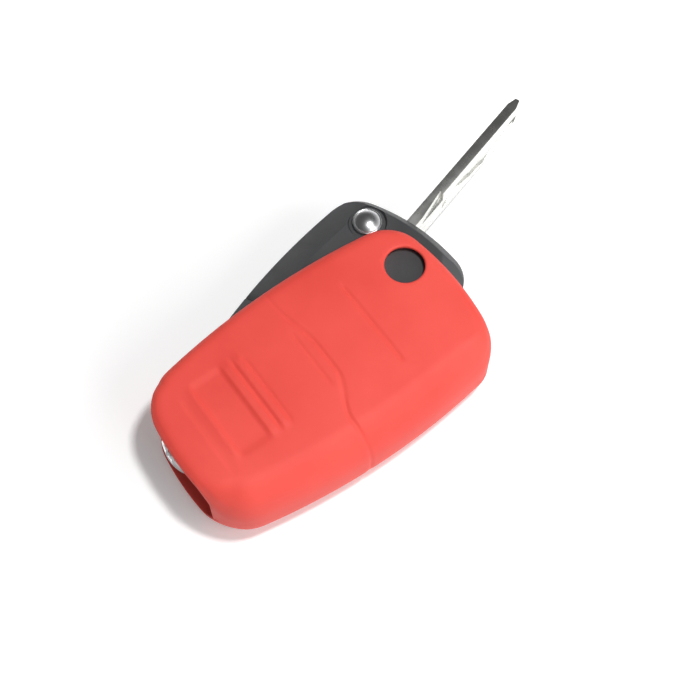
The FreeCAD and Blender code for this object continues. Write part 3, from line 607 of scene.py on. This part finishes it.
# Meshes
class Skin:
    """Gathers points and faces as whole arrays, and joins them into one mesh."""

    def __init__(self):
        self.points = []
        self.faces = []
        self.count = 0

    def add(self, points):
        ids = self.count + np.arange(points[..., 0].size).reshape(points.shape[:-1])
        self.points.append(points.reshape(-1, 3))
        self.count += ids.size
        return ids

    def quads(self, a, b, c, d):
        self.faces.append(np.stack([a.ravel(), b.ravel(), c.ravel(), d.ravel()], axis=1))

    def mesh(self, name):
        points = np.concatenate(self.points)
        faces = np.concatenate(self.faces)
        used, index = np.unique(faces, return_inverse=True)
        faces = index.reshape(faces.shape)
        mesh = bpy.data.meshes.new(name)
        mesh.vertices.add(len(used))
        mesh.vertices.foreach_set("co", (points[used] * MM).astype(np.float32).ravel())
        mesh.loops.add(faces.size)
        mesh.loops.foreach_set("vertex_index", faces.astype(np.int32).ravel())
        mesh.polygons.add(len(faces))
        mesh.polygons.foreach_set("loop_start", np.arange(0, faces.size, 4, dtype=np.int32))
        mesh.polygons.foreach_set("use_smooth", np.ones(len(faces), dtype=bool))
        mesh.update(calc_edges=True)
        mesh.validate()
        turn_outwards(mesh)
        return mesh


def turn_outwards(mesh):
    """Turns every face of a closed skin to point out."""
    work = bmesh.new()
    work.from_mesh(mesh)
    bmesh.ops.recalc_face_normals(work, faces=work.faces)
    work.to_mesh(mesh)
    work.free()


def place(name, mesh, body, node, material):
    """Shows a mesh as a piece that rides on a body and stands for a CAD node."""
    piece = bpy.data.objects.new(name, mesh)
    bpy.context.scene.collection.objects.link(piece)
    mesh.materials.append(material)
    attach(piece, body)
    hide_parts(node)
    return piece


# Cover
def patch_grid(loop):
    """Fills a closed loop: straight across between its sides, plus each end's bow, which fades inwards."""
    right = loop[:ROWS + 1]
    head = loop[ROWS:ROWS + COLS + 1][::-1]
    left = loop[ROWS + COLS:2 * ROWS + COLS + 1][::-1]
    tail = np.concatenate([loop[2 * ROWS + COLS:], loop[:1]])
    u = END_SHARES[:, None, None]
    straight = (1 - u) * left[None] + u * right[None]
    tail_bow = (tail - straight[:, 0])[:, None]
    head_bow = (head - straight[:, -1])[:, None]
    y = SIDE_LEVELS
    fade_tail = (1.0 - ease(y[0], y[0] + TAIL_BOW_FADE, y))[None, :, None]
    fade_head = ease(y[-1] - HEAD_BOW_FADE, y[-1], y)[None, :, None]
    return straight + fade_tail * tail_bow + fade_head * head_bow


def loop_to_grid(loop_ids):
    """The ids of a loop laid on the border of a grid, with -1 inside."""
    grid = np.full((COLS + 1, ROWS + 1), -1)
    closed = np.concatenate([loop_ids, loop_ids[:1]])
    grid[COLS, :] = closed[:ROWS + 1]
    grid[:, ROWS] = closed[ROWS:ROWS + COLS + 1][::-1]
    grid[0, :] = closed[ROWS + COLS:2 * ROWS + COLS + 1][::-1]
    grid[:, 0] = closed[2 * ROWS + COLS:]
    return grid


def hole_block(grid_xy):
    """The block of grid cells round the release hole that the hole's rings take the place of."""
    x, y = grid_xy[..., 0], grid_xy[..., 1]
    row = int(np.abs(y[COLS // 4] - HOLE_XY[1]).argmin())
    i0 = int((x[:, row] < HOLE_XY[0] + HOLE_BLOCK_X[0]).sum()) - 1
    i1 = int((x[:, row] < HOLE_XY[0] + HOLE_BLOCK_X[1]).sum())
    col = int(np.abs(x[:, row] - HOLE_XY[0]).argmin())
    j0 = int((y[col] < HOLE_XY[1] + HOLE_BLOCK_Y[0]).sum()) - 1
    j1 = int((y[col] < HOLE_XY[1] + HOLE_BLOCK_Y[1]).sum())
    return i0, i1, j0, min(j1, ROWS - 1)


def block_border(grid, block):
    """The border of a block of a grid, once round."""
    i0, i1, j0, j1 = block
    return np.concatenate([grid[i0:i1, j0], grid[i1, j0:j1], grid[i1:i0:-1, j1], grid[i0, j1:j0:-1]])


def fill_patch(skin, loop_ids, loop_xy, height, block):
    """A patch over a loop, at a height worked out from its place, with a block left open.

    Gives the ids and the places of its grid.
    """
    grid_xy = patch_grid(loop_xy)
    grid = loop_to_grid(loop_ids)
    inner = grid_xy[1:-1, 1:-1]
    z = height(inner.reshape(-1, 2)).reshape(inner.shape[:2])
    grid[1:-1, 1:-1] = skin.add(np.concatenate([inner, z[..., None]], axis=2))
    keep = np.ones((COLS, ROWS), dtype=bool)
    if block:
        keep[block[0]:block[1], block[2]:block[3]] = False
    a, b, c, d = grid[:-1, :-1], grid[1:, :-1], grid[1:, 1:], grid[:-1, 1:]
    skin.quads(a[keep], b[keep], c[keep], d[keep])
    return grid, grid_xy


def hole_rings(skin, front, ceiling, block):
    """The hole's skin: rings in to the rim, round its thin lip, and out under it to a wider relief."""
    grids = (front, ceiling)
    border = [block_border(grid, block) for grid, xy in grids]
    around = [block_border(xy, block) for grid, xy in grids]
    aim = around[0] - HOLE_XY
    ray = aim / np.linalg.norm(aim, axis=1)[:, None]
    rim_xy = HOLE_XY + ray * (HOLE_R + HOLE_RIM_R)
    relief_xy = HOLE_XY + ray * (HOLE_R + HOLE_RELIEF)
    top_z = front_height(rim_xy)
    rings = []

    def add_ring(xy, z):
        rings.append(np.concatenate([xy, np.broadcast_to(z, len(xy))[:, None]], axis=1))

    for share in RIM_APPROACH:
        xy = mix(around[0], rim_xy, share)
        add_ring(xy, front_height(xy))
    for angle in np.linspace(0.0, math.pi / 2, RIM_STEPS):
        xy = HOLE_XY + ray * (HOLE_R + HOLE_RIM_R * (1 - math.sin(angle)))
        add_ring(xy, top_z - HOLE_RIM_R * (1 - math.cos(angle)))
    for out, down in RELIEF_ROWS:
        add_ring(HOLE_XY + ray * (HOLE_R + out), top_z - down)
    for up in RELIEF_FEET:
        add_ring(relief_xy, CEILING_Z + up)
    add_ring(mix(relief_xy, around[1], 0.5), CEILING_Z)
    ids = np.concatenate([border[0][None], skin.add(np.stack(rings)), border[1][None]])
    after = np.roll(ids, -1, axis=1)
    skin.quads(ids[:-1], after[:-1], after[1:], ids[1:])


def make_cover():
    """The cover: outer and inner rows round the outline, patches over both panels, and a round hole."""
    skin = Skin()
    outer_points, inner_points = outer_skin(), inner_skin()
    outer, inner = skin.add(outer_points), skin.add(inner_points)
    outer_next, inner_next = np.roll(outer, -1, axis=0), np.roll(inner, -1, axis=0)
    in_mouth = IN_MOUTH & np.roll(IN_MOUTH, -1)
    walls = ~in_mouth
    everywhere = slice(None)
    for lo, hi, cols in ((0, FRONT_LIP_ROW, everywhere), (FRONT_LIP_ROW, BACK_LIP_ROW, walls),
                         (BACK_LIP_ROW, outer.shape[1] - 1, everywhere)):
        a, b = outer[cols, lo:hi + 1], outer_next[cols, lo:hi + 1]
        skin.quads(b[:, :-1], a[:, :-1], a[:, 1:], b[:, 1:])
    for lo, hi, cols in ((0, CEILING_ROW, everywhere), (CEILING_ROW, FLOOR_ROW, walls),
                         (FLOOR_ROW, inner.shape[1] - 1, everywhere)):
        a, b = inner[cols, lo:hi + 1], inner_next[cols, lo:hi + 1]
        skin.quads(a[:, :-1], b[:, :-1], b[:, 1:], a[:, 1:])
    for outer_row, inner_row in ((FRONT_LIP_ROW, CEILING_ROW), (BACK_LIP_ROW, FLOOR_ROW)):
        skin.quads(outer[in_mouth, outer_row], outer_next[in_mouth, outer_row],
                   inner_next[in_mouth, inner_row], inner[in_mouth, inner_row])
    for column in np.flatnonzero(in_mouth != np.roll(in_mouth, 1)):
        a = outer[column, FRONT_LIP_ROW:BACK_LIP_ROW + 1]
        b = inner[column, CEILING_ROW:FLOOR_ROW + 1]
        skin.quads(a[:-1], b[:-1], b[1:], a[1:])

    def level(z):
        return lambda xy: np.full(len(xy), z)

    front_xy = outer_points[:, 0, :2]
    block = hole_block(patch_grid(front_xy))
    front = fill_patch(skin, outer[:, 0], front_xy, front_height, block)
    ceiling = fill_patch(skin, inner[:, 0], inner_points[:, 0, :2], level(CEILING_Z), block)
    fill_patch(skin, outer[:, -1], outer_points[:, -1, :2], back_height, None)
    fill_patch(skin, inner[:, -1], inner_points[:, -1, :2], level(FLOOR_Z), None)
    hole_rings(skin, front, ceiling, block)
    return skin.mesh("silicone_cover_skin")


# Shader groups
def new_group(name, inputs, outputs):
    """A shader group with its sockets, and its input and output nodes."""
    group = bpy.data.node_groups.new(name, "ShaderNodeTree")
    for label, kind, value in inputs:
        socket = group.interface.new_socket(name=label, in_out="INPUT", socket_type=kind)
        socket.default_value = value
    for label in outputs:
        group.interface.new_socket(name=label, in_out="OUTPUT", socket_type="NodeSocketFloat")
    return group, group.nodes.new("NodeGroupInput"), group.nodes.new("NodeGroupOutput")


def noise(tree, coords, scale, detail, rough):
    """A noise whose scale is a number or a socket."""
    node = tree.nodes.new("ShaderNodeTexNoise")
    node.inputs["Detail"].default_value = detail
    node.inputs["Roughness"].default_value = rough
    tree.links.new(coords, node.inputs["Vector"])
    if isinstance(scale, float):
        node.inputs["Scale"].default_value = scale
    else:
        tree.links.new(scale, node.inputs["Scale"])
    return node.outputs["Fac"]


def math_node(tree, operation, a, b):
    """One operation on two values, each a number or a socket."""
    node = tree.nodes.new("ShaderNodeMath")
    node.operation = operation
    for index, value in enumerate((a, b)):
        if isinstance(value, float):
            node.inputs[index].default_value = value
        else:
            tree.links.new(value, node.inputs[index])
    return node.outputs[0]


def map_range(tree, value, spans, interpolation):
    """A value carried from one span to another: from low, from high, to low, to high."""
    node = tree.nodes.new("ShaderNodeMapRange")
    node.interpolation_type = interpolation
    for label, bound in zip(("From Min", "From Max", "To Min", "To Max"), spans):
        node.inputs[label].default_value = bound
    tree.links.new(value, node.inputs["Value"])
    return node.outputs["Result"]


def moulded_grain():
    """Fine moulded grain: a tight noise for height, and a broad one for slow changes of tone."""
    group, source, sink = new_group(
        "moulded_grain",
        [("Grain Scale", "NodeSocketFloat", 3000.0), ("Tone Scale", "NodeSocketFloat", 60.0)],
        ["Height", "Tone"])
    coords = group.nodes.new("ShaderNodeTexCoord").outputs["Object"]
    grain = noise(group, coords, source.outputs["Grain Scale"], detail=3.0, rough=0.6)
    tone = noise(group, coords, source.outputs["Tone Scale"], detail=4.0, rough=0.55)
    group.links.new(grain, sink.inputs["Height"])
    group.links.new(tone, sink.inputs["Tone"])
    return group


def drawn_lines():
    """Fine lines drawn along one direction: a noise squeezed across the turned coordinates."""
    group, source, sink = new_group(
        "drawn_lines",
        [("Turn", "NodeSocketVector", (0.0, 0.0, 0.0)),
         ("Stretch", "NodeSocketVector", (9000.0, 220.0, 9000.0))],
        ["Height", "Wear"])
    coords = group.nodes.new("ShaderNodeTexCoord").outputs["Object"]
    turned = group.nodes.new("ShaderNodeVectorRotate")
    turned.rotation_type = "EULER_XYZ"
    group.links.new(coords, turned.inputs["Vector"])
    group.links.new(source.outputs["Turn"], turned.inputs["Rotation"])
    squeezed = group.nodes.new("ShaderNodeVectorMath")
    squeezed.operation = "MULTIPLY"
    group.links.new(turned.outputs["Vector"], squeezed.inputs[0])
    group.links.new(source.outputs["Stretch"], squeezed.inputs[1])
    lines = noise(group, squeezed.outputs["Vector"], 1.0, detail=4.0, rough=0.6)
    wear = noise(group, coords, WEAR_SCALE, detail=4.0, rough=0.6)
    group.links.new(lines, sink.inputs["Height"])
    group.links.new(wear, sink.inputs["Wear"])
    return group


GRAIN = moulded_grain()
LINES = drawn_lines()


# Materials
class Finish:
    """A material with one Principled shader, and short ways to place groups and mixes in it."""

    def __init__(self, name):
        self.material = bpy.data.materials.new(name)
        self.material.use_nodes = True
        self.tree = self.material.node_tree
        self.shader = self.tree.nodes["Principled BSDF"]

    def set(self, **values):
        for label, value in values.items():
            self.shader.inputs[label.replace("_", " ")].default_value = value
        return self

    def group(self, group, **values):
        node = self.tree.nodes.new("ShaderNodeGroup")
        node.node_tree = group
        for label, value in values.items():
            node.inputs[label.replace("_", " ")].default_value = value
        return node

    def colours(self, low, high, factor):
        node = self.tree.nodes.new("ShaderNodeMix")
        node.data_type = "RGBA"
        ports = {s.identifier: s for s in node.inputs}
        ports["A_Color"].default_value = (*low, 1.0)
        ports["B_Color"].default_value = (*high, 1.0)
        self.tree.links.new(factor, ports["Factor_Float"])
        return [s for s in node.outputs if s.identifier == "Result_Color"][0]

    def span(self, factor, low, high):
        return map_range(self.tree, factor, (*NOISE_SPAN, low, high), "LINEAR")

    def feed(self, output, label):
        self.tree.links.new(output, self.shader.inputs[label])

    def bump(self, height, distance):
        node = self.tree.nodes.new("ShaderNodeBump")
        node.inputs["Distance"].default_value = distance
        node.inputs["Strength"].default_value = 1.0
        self.tree.links.new(height, node.inputs["Height"])
        self.feed(node.outputs["Normal"], "Normal")


def moulded(name, low, high, rough, grain_scale, tone_scale, bump, **values):
    """A moulded finish: tone drifts between two colours, and grain sets roughness and lifts the surface."""
    finish = Finish(name).set(**values)
    grain = finish.group(GRAIN, Grain_Scale=grain_scale, Tone_Scale=tone_scale)
    tone = finish.span(grain.outputs["Tone"], 0.0, 1.0)
    finish.feed(finish.colours(low, high, tone), "Base Color")
    finish.feed(finish.span(grain.outputs["Height"], *rough), "Roughness")
    finish.bump(grain.outputs["Height"], bump)
    return finish.material


def metal(name, low, high, rough, stretch, bump, turn=0.0):
    """A metal finish: drawn lines in the surface, with tone and roughness that follow its wear."""
    finish = Finish(name).set(Metallic=1.0)
    lines = finish.group(LINES, Turn=(0.0, 0.0, turn), Stretch=stretch)
    wear = finish.span(lines.outputs["Wear"], 0.0, 1.0)
    finish.feed(finish.colours(low, high, wear), "Base Color")
    finish.feed(finish.span(lines.outputs["Wear"], *rough), "Roughness")
    finish.bump(lines.outputs["Height"], bump)
    return finish.material


def board_mask():
    """Solder mask: green that is lighter over thin copper lanes drawn by a brick pattern."""
    finish = Finish("board_solder_mask").set(Roughness=0.38)
    grain = finish.group(GRAIN, Grain_Scale=2500.0, Tone_Scale=120.0)
    coords = finish.tree.nodes.new("ShaderNodeTexCoord").outputs["Object"]
    lanes = finish.tree.nodes.new("ShaderNodeTexBrick")
    lanes.inputs["Scale"].default_value = 320.0
    lanes.inputs["Mortar Size"].default_value = 0.03
    lanes.inputs["Color1"].default_value = (0.010, 0.085, 0.035, 1.0)
    lanes.inputs["Color2"].default_value = (0.012, 0.10, 0.042, 1.0)
    lanes.inputs["Mortar"].default_value = (0.03, 0.20, 0.08, 1.0)
    finish.tree.links.new(coords, lanes.inputs["Vector"])
    finish.feed(lanes.outputs["Color"], "Base Color")
    finish.bump(grain.outputs["Height"], 0.00001)
    return finish.material


def clear_finish(name, tint, rough, ior):
    """A clear tinted finish with a faint change of tint and roughness over it."""
    finish = Finish(name).set(Transmission_Weight=1.0, IOR=ior)
    grain = finish.group(GRAIN, Grain_Scale=900.0, Tone_Scale=220.0)
    tone = finish.span(grain.outputs["Tone"], 0.0, 1.0)
    light_tint = tuple(min(1.0, TINT_DRIFT * value) for value in tint)
    finish.feed(finish.colours(tint, light_tint, tone), "Base Color")
    finish.feed(finish.span(grain.outputs["Tone"], rough, rough + CLEAR_ROUGH_DRIFT), "Roughness")
    return finish.material


SATIN_CHROME = metal(
    "button_chrome_satin", low=(0.62, 0.62, 0.63), high=(0.70, 0.70, 0.71), rough=(0.25, 0.31),
    stretch=(900.0, 900.0, 900.0), bump=0.0000005)
SLOT_FINISH = {
    "silicone": moulded(
        "silicone_coral", low=(0.76, 0.064, 0.047), high=(0.84, 0.085, 0.064), rough=(0.54, 0.64),
        grain_scale=5200.0, tone_scale=45.0, bump=0.00002,
        Specular_IOR_Level=0.34, Sheen_Weight=0.03, Sheen_Roughness=0.5),
    "key_plastic": moulded(
        "key_plastic_grained", low=(0.026, 0.027, 0.029), high=(0.035, 0.036, 0.039), rough=(0.50, 0.60),
        grain_scale=4200.0, tone_scale=90.0, bump=0.00003, Specular_IOR_Level=0.85),
    "button_rubber": moulded(
        "button_rubber_soft", low=(0.028, 0.028, 0.030), high=(0.040, 0.040, 0.043), rough=(0.62, 0.74),
        grain_scale=5000.0, tone_scale=80.0, bump=0.00002, Specular_IOR_Level=0.35),
    "chip_black": moulded(
        "chip_moulding", low=(0.012, 0.012, 0.013), high=(0.022, 0.022, 0.023), rough=(0.5, 0.62),
        grain_scale=6000.0, tone_scale=200.0, bump=0.00001),
    "hub_zinc": moulded(
        "hub_casting_black", low=(0.020, 0.020, 0.022), high=(0.045, 0.045, 0.047), rough=(0.34, 0.5),
        grain_scale=2600.0, tone_scale=160.0, bump=0.00003, Metallic=0.4),
    "chrome": metal(
        "chrome_plating", low=(0.70, 0.70, 0.71), high=(0.78, 0.78, 0.79), rough=(0.05, 0.10),
        stretch=(900.0, 900.0, 900.0), bump=0.000001),
    "blade_steel": metal(
        "blade_nickel", low=(0.73, 0.73, 0.70), high=(0.79, 0.79, 0.76), rough=(0.25, 0.30),
        stretch=(9000.0, 160.0, 9000.0), bump=0.000001, turn=-KEY_SWING),
    "spring_steel": metal(
        "spring_steel_drawn", low=(0.42, 0.42, 0.43), high=(0.55, 0.55, 0.56), rough=(0.25, 0.4),
        stretch=(3000.0, 3000.0, 9000.0), bump=0.000004),
    "cell_steel": metal(
        "cell_can_plated", low=(0.58, 0.58, 0.57), high=(0.68, 0.68, 0.67), rough=(0.22, 0.34),
        stretch=(700.0, 700.0, 5000.0), bump=0.000003),
    "contact_brass": metal(
        "contact_strip", low=(0.60, 0.44, 0.18), high=(0.72, 0.55, 0.26), rough=(0.24, 0.38),
        stretch=(5000.0, 300.0, 5000.0), bump=0.000003),
    "board_green": board_mask(),
    "capsule_glass": clear_finish("capsule_glass", tint=(0.80, 0.90, 0.88), rough=0.02, ior=1.5),
    "lens_red": clear_finish("lens_red", tint=(0.55, 0.03, 0.03), rough=0.06, ior=1.49)}


# Release button and flip spring
def lathe(name, profile, axis_xy, turns):
    """A profile of (radius, height) turned about an upright axis, with both ends closed on the axis."""
    angle = np.linspace(0.0, 2 * math.pi, turns, endpoint=False)
    radius, height = profile[1:-1, 0][:, None], profile[1:-1, 1][:, None]
    rings = np.stack([axis_xy[0] + radius * np.cos(angle), axis_xy[1] + radius * np.sin(angle),
                      np.broadcast_to(height, (len(height), turns))], axis=-1)
    ends = [[axis_xy[0], axis_xy[1], profile[row, 1]] for row in (0, -1)]
    points = np.concatenate([rings.reshape(-1, 3), ends])
    ids = np.arange(rings[..., 0].size).reshape(rings.shape[:2])
    after = np.roll(ids, -1, axis=1)
    sides = np.stack([ids[:-1], ids[1:], after[1:], after[:-1]], axis=-1).reshape(-1, 4)
    first, last = np.full(turns, ids.size), np.full(turns, ids.size + 1)
    first_cap = np.stack([first, ids[0], after[0]], axis=1)
    last_cap = np.stack([last, after[-1], ids[-1]], axis=1)
    mesh = bpy.data.meshes.new(name)
    mesh.from_pydata((points * MM).tolist(), [], sides.tolist() + first_cap.tolist() + last_cap.tolist())
    mesh.polygons.foreach_set("use_smooth", np.ones(len(mesh.polygons), dtype=bool))
    turn_outwards(mesh)
    return mesh


def make_button(low_z, top, axis_xy):
    """The release button: a dome, a fine groove, a rounded edge ring, and the flange and shank below."""
    ball = (DOME_R ** 2 + DOME_RISE ** 2) / (2 * DOME_RISE)
    radius = np.linspace(0.0, RING_IN_R, DOME_STEPS)
    dome = np.stack([radius, top - ball + np.sqrt(ball * ball - radius * radius)], axis=1)
    t = np.linspace(0.0, math.pi, RING_STEPS)
    half = (DOME_R - RING_IN_R) / 2
    ring = np.stack([RING_IN_R + half * (1 - np.cos(t)) + RING_OUT,
                     dome[-1, 1] - RING_SINK + RING_RISE * np.sin(t)], axis=1)
    ring = np.minimum(ring, [DOME_R, top])
    seat = top - DOME_RISE - FLANGE_ROOF
    foot = seat - FLANGE_T
    below = np.array([[DOME_R, seat], [FLANGE_R, seat], [FLANGE_R, foot], [SHANK_R, foot], [SHANK_R, low_z],
                      [0.0, low_z]])
    return lathe("release_button_turned", np.concatenate([dome, ring, below]), axis_xy, BUTTON_SIDES)


def make_spring(low, high, axis_xy):
    """The flip spring: a flat wire with rounded corners carried along a helix, and closed at both ends."""
    turn = np.linspace(0.0, 2 * math.pi * SPRING_TURNS, SPRING_TURNS * SPRING_STEPS + 1)[:, None]
    side = np.linspace(0.0, 2 * math.pi, WIRE_SIDES, endpoint=False)[None, :] + math.pi / WIRE_SIDES
    radius = SPRING_R + WIRE_HALF[0] * np.sign(np.cos(side)) * np.sqrt(np.abs(np.cos(side)))
    rise = WIRE_HALF[1] * np.sign(np.sin(side)) * np.sqrt(np.abs(np.sin(side)))
    height = mix(low + WIRE_HALF[1], high - WIRE_HALF[1], turn / turn[-1])
    skin = Skin()
    wire = skin.add(np.stack([axis_xy[0] + radius * np.cos(turn), axis_xy[1] + radius * np.sin(turn),
                              height + rise], axis=-1))
    after = np.roll(wire, -1, axis=1)
    skin.quads(wire[:-1], after[:-1], after[1:], wire[1:])
    half = WIRE_SIDES // 2
    for end in (wire[0], wire[-1]):
        skin.quads(end[:half - 1], end[1:half], end[-2:half - 1:-1], end[:half:-1])
    return skin.mesh("flip_spring_coil")


# Key pieces with rounded edges
def softened(node_name, body, slot, width, button_top):
    """A node as one merged skin: steep edges are rounded, and creases and the button's well stay crisp."""
    mesh = frame["nodes"][node_name].data.copy()
    work = bmesh.new()
    work.from_mesh(mesh)
    bmesh.ops.remove_doubles(work, verts=work.verts, dist=MERGE_M)
    bmesh.ops.dissolve_limit(work, angle_limit=FLAT_BEND, verts=work.verts, edges=work.edges)
    weight = work.edges.layers.float.new("bevel_weight_edge")
    for edge in work.edges:
        middle = (edge.verts[0].co + edge.verts[1].co) / 2
        by_button = (middle - button_top).length < BUTTON_CLEAR * MM
        bend = edge.calc_face_angle(0.0)
        rounded = bend > ROUNDED_BEND and not by_button
        edge[weight] = float(rounded)
        edge.smooth = rounded or bend < CREASE_BEND
    work.to_mesh(mesh)
    work.free()
    mesh.materials.clear()
    mesh.polygons.foreach_set("use_smooth", np.ones(len(mesh.polygons), dtype=bool))
    piece = place(node_name + "_soft", mesh, body, node_name, SLOT_FINISH[slot])
    bevel = piece.modifiers.new("soft_edges", "BEVEL")
    bevel.width = width * MM
    bevel.segments = EDGE_SEGMENTS
    bevel.limit_method = "WEIGHT"
    bevel.use_clamp_overlap = False
    bevel.harden_normals = True


# Floor, light and camera
def add_stage():
    """A pale floor that is lifted to white for the camera, least near the part, so the shadow stays."""
    mesh = bpy.data.meshes.new("floor")
    corners = [(x * FLOOR_HALF, y * FLOOR_HALF, FLOOR_Z_M) for x, y in ((-1, -1), (1, -1), (1, 1), (-1, 1))]
    mesh.from_pydata(corners, [], [(0, 1, 2, 3)])
    floor = bpy.data.objects.new("floor", mesh)
    bpy.context.scene.collection.objects.link(floor)
    material = bpy.data.materials.new("floor_white")
    material.use_nodes = True
    tree = material.node_tree
    tree.nodes.clear()
    out = tree.nodes.new("ShaderNodeOutputMaterial")
    diffuse = tree.nodes.new("ShaderNodeBsdfDiffuse")
    diffuse.inputs["Color"].default_value = (FLOOR_TONE, FLOOR_TONE, FLOOR_TONE, 1.0)
    lift = tree.nodes.new("ShaderNodeEmission")
    lift.inputs["Color"].default_value = (1.0, 1.0, 1.0, 1.0)
    rays = tree.nodes.new("ShaderNodeLightPath")
    seen = math_node(tree, "MAXIMUM", rays.outputs["Is Camera Ray"], rays.outputs["Is Glossy Ray"])
    seen = math_node(tree, "MAXIMUM", seen, rays.outputs["Is Transmission Ray"])
    coords = tree.nodes.new("ShaderNodeTexCoord").outputs["Object"]
    away = tree.nodes.new("ShaderNodeVectorMath")
    away.operation = "LENGTH"
    tree.links.new(coords, away.inputs[0])
    fade = map_range(tree, away.outputs["Value"], LIFT_REACH + FLOOR_LIFT, "SMOOTHSTEP")
    strength = math_node(tree, "MULTIPLY", seen, fade)
    tree.links.new(strength, lift.inputs["Strength"])
    total = tree.nodes.new("ShaderNodeAddShader")
    tree.links.new(diffuse.outputs[0], total.inputs[0])
    tree.links.new(lift.outputs[0], total.inputs[1])
    tree.links.new(total.outputs[0], out.inputs["Surface"])
    mesh.materials.append(material)


def add_world():
    """A studio: dim for diffuse light, white to the camera, mirrored white low down and by the lamps."""
    world = bpy.data.worlds.new("studio")
    bpy.context.scene.world = world
    world.use_nodes = True
    tree = world.node_tree
    background = tree.nodes["Background"]
    background.inputs["Color"].default_value = (1.0, 1.0, 1.0, 1.0)
    rays = tree.nodes.new("ShaderNodeLightPath")
    coords = tree.nodes.new("ShaderNodeTexCoord").outputs["Generated"]
    axes = tree.nodes.new("ShaderNodeSeparateXYZ")
    tree.links.new(coords, axes.inputs["Vector"])
    lean = tree.nodes.new("ShaderNodeVectorMath")
    lean.operation = "DOT_PRODUCT"
    lean.inputs[1].default_value = LIGHT_LEAN
    tree.links.new(coords, lean.inputs[0])
    height = math_node(tree, "SUBTRACT", axes.outputs["Z"], lean.outputs["Value"])
    dome = map_range(tree, height, (0.0, DOME_REACH, 1.0, OVERHEAD), "SMOOTHSTEP")
    mirrored = math_node(tree, "MAXIMUM", rays.outputs["Is Glossy Ray"], rays.outputs["Is Transmission Ray"])
    shown = math_node(tree, "MAXIMUM", rays.outputs["Is Camera Ray"], mirrored)
    ambient = math_node(tree, "MULTIPLY", math_node(tree, "SUBTRACT", 1.0, shown), AMBIENT)
    reflected = math_node(tree, "MULTIPLY", mirrored, dome)
    strength = math_node(tree, "ADD", ambient, reflected)
    strength = math_node(tree, "ADD", strength, rays.outputs["Is Camera Ray"])
    tree.links.new(strength, background.inputs["Strength"])


def add_lamp(name, place_m, size_m, watts):
    """A square softbox that points at the frame's origin."""
    lamp = bpy.data.lights.new(name, "AREA")
    lamp.shape = "RECTANGLE"
    lamp.size = size_m
    lamp.size_y = size_m
    lamp.energy = watts
    holder = bpy.data.objects.new(name, lamp)
    bpy.context.scene.collection.objects.link(holder)
    holder.location = place_m
    holder.rotation_euler = (-Vector(place_m)).to_track_quat("-Z", "Y").to_euler()


def add_camera():
    """The photograph's camera: a direction and distance from its target, and a lens from its focal length."""
    flat = math.cos(VIEW_EL)
    back = Vector((math.sin(VIEW_AZ) * flat, -math.cos(VIEW_AZ) * flat, math.sin(VIEW_EL)))
    right = Vector((math.cos(VIEW_AZ), math.sin(VIEW_AZ), 0.0))
    up = back.cross(right)
    data = bpy.data.cameras.new("photo_camera")
    data.sensor_width = SENSOR_MM
    data.lens = FOCAL_PX / FRAME_PX * SENSOR_MM
    data.clip_start = NEAR_CLIP
    camera = bpy.data.objects.new("photo_camera", data)
    bpy.context.scene.collection.objects.link(camera)
    turn = Matrix((right, up, back)).transposed().to_4x4()
    camera.matrix_world = Matrix.Translation(VIEW_TARGET + back * VIEW_DIST) @ turn
    bpy.context.scene.camera = camera


# The scene
for subpart in frame["record"]["subparts"]:
    node = frame["nodes"][subpart["node"]]
    node.data.materials.clear()
    node.data.materials.append(SLOT_FINISH[subpart["material_slot"]])

place("silicone_cover_skin", make_cover(), "cover", "silicone_cover", SLOT_FINISH["silicone"])

button_low, button_high = np.array(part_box("release_button"))
button_axis = (button_low + button_high) / 2
button = make_button(button_low[2] / MM, button_high[2] / MM, button_axis[:2] / MM)
place("release_button_turned", button, "release_button", "release_button", SATIN_CHROME)

spring_low, spring_high = np.array(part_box("flip_spring"))
spring = make_spring(spring_low[2] / MM, spring_high[2] / MM, button_axis[:2] / MM)
coil = place("flip_spring_coil", spring, "key_body", "flip_spring",
             SLOT_FINISH["spring_steel"])
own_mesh(coil)

button_top = Vector((button_axis[0], button_axis[1], button_high[2]))
for node_name, (body, slot, width) in SOFT_EDGES.items():
    softened(node_name, body, slot, width, button_top)

add_stage()
add_world()
add_lamp("main_softbox", place_m=(0.085, 0.11, 0.52), size_m=0.055, watts=1.85)
add_lamp("fill_softbox", place_m=(0.28, 0.09, 0.22), size_m=0.26, watts=0.62)
add_camera()
bpy.context.scene.view_settings.view_transform = "Standard"
